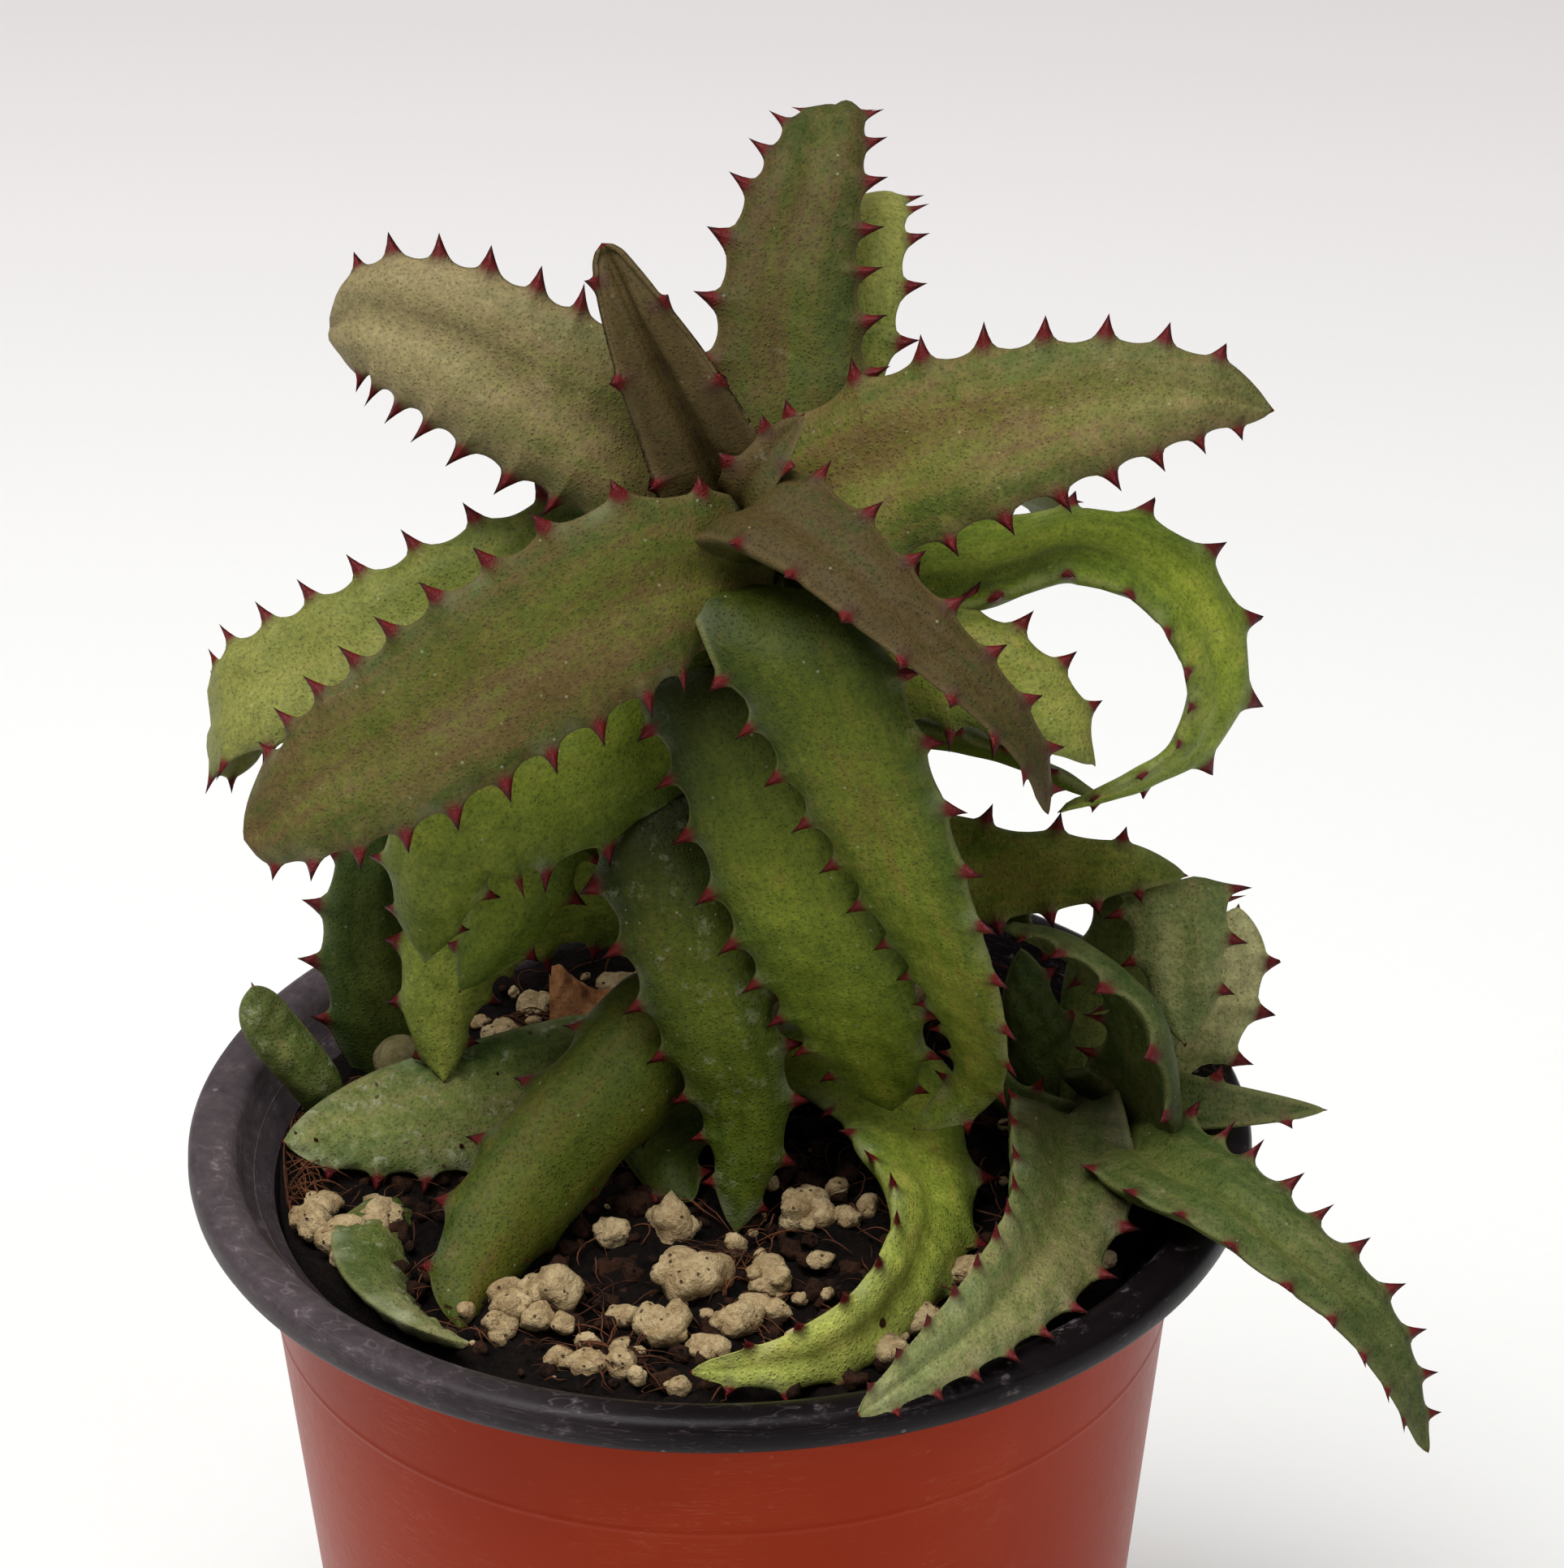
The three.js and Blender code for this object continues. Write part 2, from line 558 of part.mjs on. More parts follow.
/** Repeatable noise from 0 to 1 for a whole number and a seed. */
function noise(index, seed) {
  const wave = Math.sin(index * NOISE.step + seed * NOISE.seedStep) * NOISE.scale;
  return wave - Math.floor(wave);
}

/** A smooth line through points. */
function smoothLine(points) {
  const corners = points.map((point) => new THREE.Vector3(...point));
  return new THREE.CatmullRomCurve3(corners, false, "centripetal");
}

// Pot

/** The pot as a turned solid, swollen by growth on every side. */
function potSolid(growth) {
  const outerRadius = (z) => POT.wallTopRadius - (POT.height - z) * POT.wallTaper + growth;
  const innerRadius = (z) => outerRadius(z) - POT.wall - 2 * growth;
  const lipBottom = POT.height - POT.lipDepth - growth;
  const footInner = outerRadius(0) - POT.footWidth;
  const floorTop = POT.footHeight + POT.floor + growth;
  const wallTop = lipBottom - POT.wall;
  const lip = LIP_SECTION.map(([inset, depth, out, up]) => (
    [POT.lipRadius - inset + out * growth, POT.height - depth + up * growth]
  ));
  const profile = [
    [0, floorTop],
    [0, 0],
    [POT.hubRadius, 0],
    [POT.hubRadius + POT.footSlope, POT.footHeight],
    [footInner - POT.footSlope, POT.footHeight],
    [footInner, 0],
    [outerRadius(0), 0],
    [outerRadius(lipBottom), lipBottom],
    ...lip,
    [innerRadius(wallTop), wallTop],
    [innerRadius(floorTop), floorTop],
  ].map(([radius, z]) => new THREE.Vector2(radius, z));
  profile.push(profile[0].clone());
  const turned = new THREE.LatheGeometry(profile, POT.sides).rotateX(Math.PI / 2);
  return geometrySolid(turned);
}

/** The pot with its drain holes through the raised channel. */
function drainedPot() {
  let pot = potSolid(0);
  for (let hole = 0; hole < POT.drainHoles; hole += 1) {
    const angle = (hole / POT.drainHoles) * Math.PI * 2;
    const drill = new THREE.CylinderGeometry(POT.drainRadius, POT.drainRadius, DRILL.length, DRILL.sides);
    drill.rotateX(Math.PI / 2);
    drill.translate(POT.drainRing * Math.cos(angle), POT.drainRing * Math.sin(angle), 0);
    pot = pot.subtract(geometrySolid(drill));
  }
  return pot;
}

// Soil

/** Height of the soil's surface at a place. */
function soilHeight(x, y) {
  const reach = Math.hypot(x, y) / POT.lipThroat;
  const edge = POT.height - SOIL.edgeDepth;
  const waves = Math.sin(x * SOIL.wave[0] + 1) * Math.cos(y * SOIL.wave[1]);
  const crossWaves = SOIL.crossShare * Math.sin(x * SOIL.crossWave[0] + y * SOIL.crossWave[1]);
  return edge + SOIL.mound * (1 - reach * reach) + SOIL.heave * (waves + crossWaves);
}

/** One pumice grain: a rough low-sided stone. */
function pumiceGrain([x, y, diameter], seed, growth) {
  const stone = new THREE.IcosahedronGeometry(1, 0);
  const place = stone.attributes.position;
  const corner = new THREE.Vector3();
  for (let i = 0; i < place.count; i += 1) {
    corner.fromBufferAttribute(place, i);
    const key = Math.round(corner.dot(new THREE.Vector3(...GRAIN.cornerKey)));
    const reach = GRAIN.leastReach + GRAIN.roughness * noise(key, seed);
    corner.multiplyScalar((diameter / 2) * reach + growth);
    place.setXYZ(i, corner.x, corner.y, corner.z * GRAIN.flatness);
  }
  stone.rotateZ(noise(seed, 0) * Math.PI);
  stone.translate(x, y, soilHeight(x, y) + diameter * (0.5 - GRAIN.sink));
  return geometrySolid(stone);
}

/** The soil's block: it fills the pot and shows a heaved round surface. */
function soilBlock(growth) {
  const floorZ = POT.footHeight + POT.floor + GAP - growth;
  const wallGap = POT.wall + GAP;
  const radiusAt = (z) => POT.wallTopRadius - (POT.height - z) * POT.wallTaper - wallGap + growth;
  const ring = (radius, z) => Array.from({ length: SOIL.sides }, (_, side) => {
    const angle = (side / SOIL.sides) * Math.PI * 2;
    const x = radius * Math.cos(angle);
    const y = radius * Math.sin(angle);
    return new THREE.Vector3(x, y, z ?? soilHeight(x, y) + growth);
  });
  const rimZ = POT.height - SOIL.edgeDepth;
  const faceRings = SOIL.rings.map((radius) => ring(radius)).reverse();
  const rings = [ring(radiusAt(floorZ), floorZ), ring(radiusAt(rimZ) - GAP), ...faceRings];
  const top = new THREE.Vector3(0, 0, soilHeight(0, 0) + growth);
  return skinRings(rings, new THREE.Vector3(0, 0, floorZ), top);
}

/** Soil and pumice as one body, swollen by growth. */
function soilSolid(growth) {
  const grains = PUMICE.map((grain, index) => pumiceGrain(grain, index + SOIL.seed, growth));
  return wasm.Manifold.union([soilBlock(growth), ...grains]);
}

// Stems

/** A stem as a tapered many-sided tube along its line, swollen by growth. */
function stemSolid(stem, growth) {
  const curve = smoothLine(stem.line);
  const rings = stem.radii.map((radius, station) => {
    const t = station / (stem.radii.length - 1);
    const centre = curve.getPoint(t);
    const along = curve.getTangent(t);
    const across = new THREE.Vector3(1, 0, 0).cross(along).normalize();
    return Array.from({ length: STEM_SIDES }, (_, side) => {
      const spin = (side / STEM_SIDES) * Math.PI * 2;
      return across.clone().applyAxisAngle(along, spin).multiplyScalar(radius + growth).add(centre);
    });
  });
  const start = curve.getPoint(0).addScaledVector(curve.getTangent(0), -growth);
  const end = curve.getPoint(1).addScaledVector(curve.getTangent(1), growth + STEM_TOP);
  return skinRings(rings, start, end);
}

/** Corners and triangles gathered into one closed skin out of rows of points. */
class Skin {
  constructor() {
    this.corners = [];
    this.faces = [];
  }

  /** Adds a corner and returns its index. */
  add(point) {
    this.corners.push(point.x, point.y, point.z);
    return this.corners.length / 3 - 1;
  }

  /** Fills the band between two rows, which may hold different numbers of points. */
  zip(row, next) {
    let i = 0;
    let j = 0;
    while (i < row.length - 1 || j < next.length - 1) {
      const step = i < row.length - 1 && (j === next.length - 1 || row[i + 1].t <= next[j + 1].t);
      if (step) this.faces.push([row[i].index, next[j].index, row[i + 1].index]);
      else this.faces.push([row[i].index, next[j].index, next[j + 1].index]);
      if (step) i += 1;
      else j += 1;
    }
  }

  /** Closes a margin whose two rows part only at its teeth, with four faces to each point. */
  pointTeeth(row, next) {
    row.forEach((here, place) => {
      const other = next[place];
      if (here.index === other.index) return;
      const apex = here.apex ?? other.apex;
      const before = row[place - 1].index;
      const after = row[place + 1].index;
      this.faces.push([before, apex, here.index], [here.index, apex, after]);
      this.faces.push([before, other.index, apex], [other.index, after, apex]);
    });
  }

  /** Closes one end of the rows with a fan round a point. */
  cap(rows, end, point) {
    const centre = this.add(point);
    rows.forEach((row, place) => {
      const a = row.at(end).index;
      const b = rows[(place + 1) % rows.length].at(end).index;
      if (a !== b) this.faces.push(end === 0 ? [centre, b, a] : [centre, a, b]);
    });
  }
}

// Leaves

/** One blade: its middle line, its frame along it, and its section sizes. */
class Blade {
  constructor(leaf) {
    this.leaf = leaf;
    this.curve = smoothLine(leaf.spine);
    this.length = this.curve.getLength();
    this.acrossBase = new THREE.Vector3(...leaf.across);
    this.acrossTip = new THREE.Vector3(...(leaf.acrossTip ?? leaf.across));
    this.stations = Array.from({ length: LEAF.stations }, (_, station) => (
      1 - (1 - station / LEAF.stations) ** LEAF.tipCrowding
    ));
  }

  /** Place and directions at a share of the length: along the blade, to its right, and up. */
  frame(t) {
    const origin = this.curve.getPointAt(t);
    const along = this.curve.getTangentAt(t);
    const right = this.acrossBase.clone().lerp(this.acrossTip, t);
    right.addScaledVector(along, -right.dot(along)).normalize();
    return { origin, along, right, up: right.clone().cross(along) };
  }

  /** Share of full width at t: a narrowed foot and a rounded or pointed tip. */
  widthShare(t) {
    const foot = this.leaf.base + (1 - this.leaf.base) * ease(t / LEAF.baseRise);
    return foot * this.taper(t);
  }

  /** The tip's rounding at t. */
  taper(t) {
    return (1 - t ** this.leaf.blunt) ** (this.leaf.round ?? LEAF.taperPower);
  }

  /** Thickness at t. */
  thickness(t) {
    const full = this.leaf.thickness * (1 - LEAF.thinning * t) * Math.sqrt(this.taper(t));
    return Math.max(full, LEAF.leastThickness);
  }

  /** A point of the section: share across from -1 to 1, and depth below the upper face. */
  sectionPoint(t, share, depth, growth) {
    const { origin, right, up } = this.frame(t);
    const half = (this.leaf.width / 2) * this.widthShare(t) + growth;
    const curl = THREE.MathUtils.degToRad(THREE.MathUtils.lerp(...this.leaf.curl, t));
    const angle = curl * share;
    const radius = half / curl;
    const normal = up.clone().multiplyScalar(Math.cos(angle)).addScaledVector(right, -Math.sin(angle));
    return origin
      .addScaledVector(right, radius * Math.sin(angle))
      .addScaledVector(up, radius * (1 - Math.cos(angle)))
      .addScaledVector(normal, growth - depth);
  }

  /** Direction out of a margin, and the section's normal there. */
  marginFrame(t, side) {
    const { along, right, up } = this.frame(t);
    const curl = THREE.MathUtils.degToRad(THREE.MathUtils.lerp(...this.leaf.curl, t));
    const outward = right.multiplyScalar(side * Math.cos(curl)).addScaledVector(up, Math.sin(curl));
    return { along, outward };
  }

  /** A point below the upper face where the section is as deep as a lens. */
  bellyPoint(t, share, growth) {
    const deep = this.thickness(t) + 2 * growth;
    return this.sectionPoint(t, share, deep * Math.sqrt(1 - share * share), growth);
  }

  /** The blunt edge of the section on one side. */
  edgePoint(t, side, growth) {
    return this.sectionPoint(t, side, LEAF.edgeDepth * (this.thickness(t) + 2 * growth), growth);
  }

  /** Places of the teeth on one side, as shares of the length, with each tooth's size. */
  teeth(side) {
    const [first, pitch] = side > 0 ? this.leaf.teeth.right : this.leaf.teeth.left;
    const found = [];
    let reach = first;
    while (reach < this.length - TOOTH.endClear) {
      const t = reach / this.length;
      found.push({ t, size: TOOTH.leastSize + (1 - TOOTH.leastSize) * Math.sin(Math.PI * t) });
      reach += pitch * THREE.MathUtils.lerp(...TOOTH.spread, t);
    }
    return found;
  }

  /** Points along one margin: the plain edge, and at each tooth its two roots and its ridge. */
  margin(side, growth) {
    const teeth = this.teeth(side).map((tooth) => {
      const half = (TOOTH.halfBase * tooth.size + growth) / this.length;
      return { ...tooth, from: tooth.t - half, to: tooth.t + half };
    });
    const plain = this.stations
      .filter((t) => teeth.every(({ from, to }) => t < from - LEAF.leastStep || t > to + LEAF.leastStep))
      .map((t) => ({ t, edge: this.edgePoint(t, side, growth) }));
    const roots = teeth
      .flatMap(({ from, to }) => [from, to])
      .map((t) => ({ t, edge: this.edgePoint(t, side, growth) }));
    const ridges = teeth.map(({ t, size }) => {
      const { along, outward } = this.marginFrame(t, side);
      const lean = THREE.MathUtils.degToRad(TOOTH.leanDegrees);
      const reach = TOOTH.height * size + growth;
      const inset = 1 - TOOTH.inset / ((this.leaf.width / 2) * this.widthShare(t));
      const apex = this.edgePoint(t, side, 0);
      apex.addScaledVector(outward, reach * Math.cos(lean)).addScaledVector(along, reach * Math.sin(lean));
      return {
        t,
        apex,
        above: this.sectionPoint(t, side * inset, 0, growth),
        below: this.bellyPoint(t, side * inset, growth),
      };
    });
    return [...plain, ...roots, ...ridges].sort((a, b) => a.t - b.t);
  }

  /** The blade with its teeth as one skin, swollen by growth. */
  solid(growth) {
    const skin = new Skin();
    const addRow = (points) => points.map(({ t, point }) => ({ t, index: skin.add(point) }));
    const lane = (place) => addRow(this.stations.map((t) => ({ t, point: place(t) })));
    const sides = [1, -1].map((side) => {
      const upper = [];
      const lower = [];
      for (const { t, edge, apex, above, below } of this.margin(side, growth)) {
        if (edge) {
          const index = skin.add(edge);
          upper.push({ t, index });
          lower.push({ t, index });
        } else {
          upper.push({ t, index: skin.add(above), apex: skin.add(apex) });
          lower.push({ t, index: skin.add(below) });
        }
      }
      return { upper, lower };
    });
    const upperLanes = LEAF.upperStops.map((share) => lane((t) => this.sectionPoint(t, share, 0, growth)));
    const lowerLanes = LEAF.lowerStops.map((share) => lane((t) => this.bellyPoint(t, share, growth)));
    const [right, left] = sides;
    const around = [right.upper, ...upperLanes, left.upper, left.lower, ...lowerLanes, right.lower];
    around.forEach((row, place) => {
      const next = around[(place + 1) % around.length];
      if (row[0].index === next[0].index) skin.pointTeeth(row, next);
      else skin.zip(row, next);
    });
    const { origin, along } = this.frame(0);
    const end = this.frame(1);
    skin.cap(around, 0, origin.addScaledVector(along, -growth));
    skin.cap(around, -1, end.origin.addScaledVector(end.along, growth));
    return closedSolid(skin.corners, skin.faces);
  }
}

/** Fits each blade clear of what is already placed, in the order of the list. */
function fitLeaves(obstacles) {
  const taken = [...obstacles];
  return LEAVES.map((leaf) => {
    const blade = new Blade(leaf);
    let solid = blade.solid(0);
    for (const other of taken) solid = solid.subtract(other);
    taken.push(blade.solid(GAP));
    return solidMesh(leaf.name, largestBody(solid), leaf.tone);
  });
}

// Withered leaf

/** The withered leaf: a thin arched scrap that stands on the soil on its edges. */
function dryLeafSolid() {
  const [x0, y0] = DRY_LEAF.centre;
  const rings = [];
  for (let station = 0; station <= DRY_LEAF.stations; station += 1) {
    const t = station / DRY_LEAF.stations;
    const middleShare = Math.sin(Math.PI * t);
    const half = (DRY_LEAF.width / 2) * THREE.MathUtils.lerp(DRY_LEAF.endShare, 1, middleShare);
    const x = x0 + (t - 0.5) * DRY_LEAF.length;
    const wave = 1 - DRY_LEAF.waveShare * (1 - Math.cos(t * DRY_LEAF.waveTurn));
    const rise = (share) => DRY_LEAF.height * (1 - share * share) * wave;
    const point = (share, lift) => {
      const y = y0 + share * half;
      return new THREE.Vector3(x, y, soilHeight(x, y) + GAP + rise(share) + lift);
    };
    const top = DRY_LEAF.stops.map((share) => point(share, DRY_LEAF.thickness));
    const bottom = DRY_LEAF.stops.map((share) => point(share, 0)).reverse();
    rings.push([...top, ...bottom]);
  }
  const middle = (ring) => (
    ring.reduce((sum, point) => sum.add(point), new THREE.Vector3()).divideScalar(ring.length)
  );
  return skinRings(rings, middle(rings[0]), middle(rings.at(-1)));
}

// Assembly

const plant = new THREE.Group();
plant.name = "potted_aloe";

const swollenStems = STEMS.map((stem) => stemSolid(stem, GAP));
let soil = soilSolid(0);
for (const stem of swollenStems) soil = soil.subtract(stem);
const swollenSoil = soilSolid(GAP);

plant.add(solidMesh("pot", drainedPot(), "pot"));
plant.add(solidMesh("soil", largestBody(soil), "soil"));
for (const stem of STEMS) plant.add(solidMesh(stem.name, stemSolid(stem, 0), "stem"));
plant.add(...fitLeaves([...swollenStems, swollenSoil, potSolid(GAP)]));
plant.add(solidMesh("leaf_withered", largestBody(dryLeafSolid().subtract(swollenSoil)), "dry"));

export default plant;
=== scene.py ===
"""A potted Aloe castilloniae: the plant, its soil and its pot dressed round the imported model.

Tables are in millimetres and the meshes in metres. The origin is the centre of the pot's foot,
+Z is up, and the camera looks along +Y from the side that the tall stem leans towards.
"""

import logging
import math
import random
from dataclasses import dataclass
from enum import Enum

import bmesh
import bpy
import numpy as np
from mathutils import Matrix, Vector

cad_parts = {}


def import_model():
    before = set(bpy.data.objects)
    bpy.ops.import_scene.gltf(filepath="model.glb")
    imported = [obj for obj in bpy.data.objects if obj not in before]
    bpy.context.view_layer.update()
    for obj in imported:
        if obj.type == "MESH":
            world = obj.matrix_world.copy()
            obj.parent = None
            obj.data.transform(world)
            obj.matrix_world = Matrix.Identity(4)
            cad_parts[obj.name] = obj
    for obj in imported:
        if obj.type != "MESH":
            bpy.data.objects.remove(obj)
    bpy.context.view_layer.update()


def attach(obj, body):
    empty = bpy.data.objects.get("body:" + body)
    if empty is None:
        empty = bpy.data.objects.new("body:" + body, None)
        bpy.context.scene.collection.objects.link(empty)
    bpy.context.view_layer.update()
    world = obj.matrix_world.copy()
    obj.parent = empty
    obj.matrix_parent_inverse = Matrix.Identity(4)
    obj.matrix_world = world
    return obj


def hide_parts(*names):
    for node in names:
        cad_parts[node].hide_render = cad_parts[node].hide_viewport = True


LOG = logging.getLogger("potted_aloe")

MM = 0.001
BODY = "root"

Point = tuple[float, float, float]
Pair = tuple[float, float]
Colour = tuple[float, float, float]


# Shader maths

class Field:
    """A number or a vector that changes over a surface: one output socket of a shader."""

    def __init__(self, shader: "Shader", socket: bpy.types.NodeSocket) -> None:
        """Wraps a socket.

        Args:
            shader: the shader that the socket belongs to.
            socket: the output socket.
        """
        self.shader = shader
        self.socket = socket

    def __add__(self, other: "Field | float") -> "Field":
        """Sum of two numbers."""
        return self.shader.math("ADD", self, other)

    def __radd__(self, other: float) -> "Field":
        """Sum with a plain number on the left."""
        return self.shader.math("ADD", other, self)

    def __sub__(self, other: "Field | float") -> "Field":
        """Difference of two numbers."""
        return self.shader.math("SUBTRACT", self, other)

    def __rsub__(self, other: float) -> "Field":
        """Difference from a plain number on the left."""
        return self.shader.math("SUBTRACT", other, self)

    def __mul__(self, other: "Field | float") -> "Field":
        """Product of two numbers."""
        return self.shader.math("MULTIPLY", self, other)

    def __rmul__(self, other: float) -> "Field":
        """Product with a plain number on the left."""
        return self.shader.math("MULTIPLY", other, self)

    def ease(self, low: float, high: float) -> "Field":
        """A smooth rise from 0 at low to 1 at high, or a fall where low is the larger.

        Args:
            low: the value that gives 0.
            high: the value that gives 1.

        Returns:
            A number from 0 to 1.
        """
        first, last = (low, high) if low < high else (high, low)
        node = self.shader.node(
            "ShaderNodeMapRange",
            {"interpolation_type": "SMOOTHSTEP", "clamp": True},
            {0: self, 1: first, 2: last, 3: 0.0, 4: 1.0},
        )
        rise = Field(self.shader, node.outputs[0])
        return rise if low < high else 1.0 - rise

    def parts(self) -> tuple["Field", "Field", "Field"]:
        """The three numbers of a vector."""
        node = self.shader.node("ShaderNodeSeparateXYZ", {}, {0: self})
        return tuple(Field(self.shader, output) for output in node.outputs)

    def scaled(self, factors: Point) -> "Field":
        """A vector with each of its numbers multiplied."""
        settings = {"operation": "MULTIPLY"}
        return self.shader.output("ShaderNodeVectorMath", settings, {0: self, 1: factors})


class Shader:
    """A material in the making: its nodes, and the one shader that they feed."""

    def __init__(self, name: str, roughness: float = 0.5, specular: float = 0.5) -> None:
        """Starts a material with one plain surface.

        Args:
            name: the material's name.
            roughness: the surface's roughness where no pattern changes it.
            specular: the strength of its reflection, where 0.5 is common plastic.
        """
        self.material = bpy.data.materials.new(name)
        self.material.use_nodes = True
        self.tree = self.material.node_tree
        self.tree.nodes.clear()
        self.surface = self.tree.nodes.new("ShaderNodeBsdfPrincipled")
        self.surface.inputs["Roughness"].default_value = roughness
        self.surface.inputs["Specular IOR Level"].default_value = specular
        end = self.tree.nodes.new("ShaderNodeOutputMaterial")
        self.tree.links.new(self.surface.outputs[0], end.inputs["Surface"])

    def node(self, kind: str, settings: dict, inputs: dict) -> bpy.types.Node:
        """Adds a node.

        Args:
            kind: the node's type.
            settings: its properties, which are set first.
            inputs: values or fields by socket name or number.

        Returns:
            The node.
        """
        node = self.tree.nodes.new(kind)
        for name, value in settings.items():
            setattr(node, name, value)
        for key, value in inputs.items():
            if isinstance(value, Field):
                self.tree.links.new(value.socket, node.inputs[key])
            elif isinstance(value, tuple) and node.inputs[key].type == "RGBA":
                node.inputs[key].default_value = (*value, 1.0)
            else:
                node.inputs[key].default_value = value
        return node

    def output(self, kind: str, settings: dict, inputs: dict, number: int = 0) -> Field:
        """Adds a node and wraps one of its outputs, the first where none is named."""
        return Field(self, self.node(kind, settings, inputs).outputs[number])

    def math(self, operation: str, first: "Field | float", second: "Field | float") -> Field:
        """Adds a Math node on two numbers."""
        return self.output("ShaderNodeMath", {"operation": operation}, {0: first, 1: second})

    def mix(self, low: "Field | Colour", high: "Field | Colour", share: "Field | float") -> Field:
        """A colour between two others.

        Args:
            low: the colour where share is 0.
            high: the colour where share is 1.
            share: how far towards high, held between 0 and 1.

        Returns:
            The mixed colour.
        """
        settings = {"data_type": "RGBA", "clamp_factor": True}
        return self.output("ShaderNodeMix", settings, {0: share, 6: low, 7: high}, 2)

    def tint(self, colour: Field, strength: Field) -> Field:
        """A colour made lighter or darker by a number near 1."""
        scale = {"operation": "SCALE"}
        return self.output("ShaderNodeVectorMath", scale, {0: colour, "Scale": strength})

    def attribute(self, name: str) -> Field:
        """A vector that is stored on the mesh."""
        settings = {"attribute_type": "GEOMETRY", "attribute_name": name}
        return self.output("ShaderNodeAttribute", settings, {}, 1)

    def place(self) -> Field:
        """The point on the object in millimetres."""
        point = self.output("ShaderNodeTexCoord", {}, {}, 3)
        return point.scaled((1 / MM, 1 / MM, 1 / MM))

    def noise(self, at: Field, scale: float, detail: float = 2.0, roughness: float = 0.5) -> Field:
        """Cloudy noise from 0 to 1.

        Args:
            at: the place that it is read at.
            scale: waves for each unit of the place.
            detail: how many finer layers it has.
            roughness: how strong the finer layers are.

        Returns:
            A number round 0.5.
        """
        inputs = {"Vector": at, "Scale": scale, "Detail": detail, "Roughness": roughness}
        return self.output("ShaderNodeTexNoise", {"noise_dimensions": "3D"}, inputs)

    def cells(self, at: Field, scale: float) -> tuple[Field, Field]:
        """Scattered points.

        Args:
            at: the place that they are read at.
            scale: points for each unit of the place.

        Returns:
            The distance to the nearest point, and a random number that belongs to it.
        """
        node = self.node("ShaderNodeTexVoronoi", {"feature": "F1"}, {"Vector": at, "Scale": scale})
        pick, _, _ = Field(self, node.outputs["Color"]).parts()
        return Field(self, node.outputs["Distance"]), pick

    def finish(
        self,
        colour: Field,
        roughness: Field,
        relief: Field,
        depth: float,
    ) -> bpy.types.Material:
        """Feeds the surface and gives the finished material.

        Args:
            colour: the base colour.
            roughness: the roughness.
            relief: the height of the fine relief, about 0 to 1.
            depth: how deep that relief is, in millimetres.

        Returns:
            The material.
        """
        inputs = {"Height": relief, "Distance": depth * MM, "Strength": 1.0}
        bump = self.output("ShaderNodeBump", {}, inputs)
        self.tree.links.new(colour.socket, self.surface.inputs["Base Color"])
        self.tree.links.new(roughness.socket, self.surface.inputs["Roughness"])
        self.tree.links.new(bump.socket, self.surface.inputs["Normal"])
        return self.material


# Finishes

class Tone(Enum):
    """The material slots for the three kinds of leaf; declare reports them."""

    UPPER = "leaf_upper"
    LOWER = "leaf_lower"
    OFFSET = "leaf_offset"


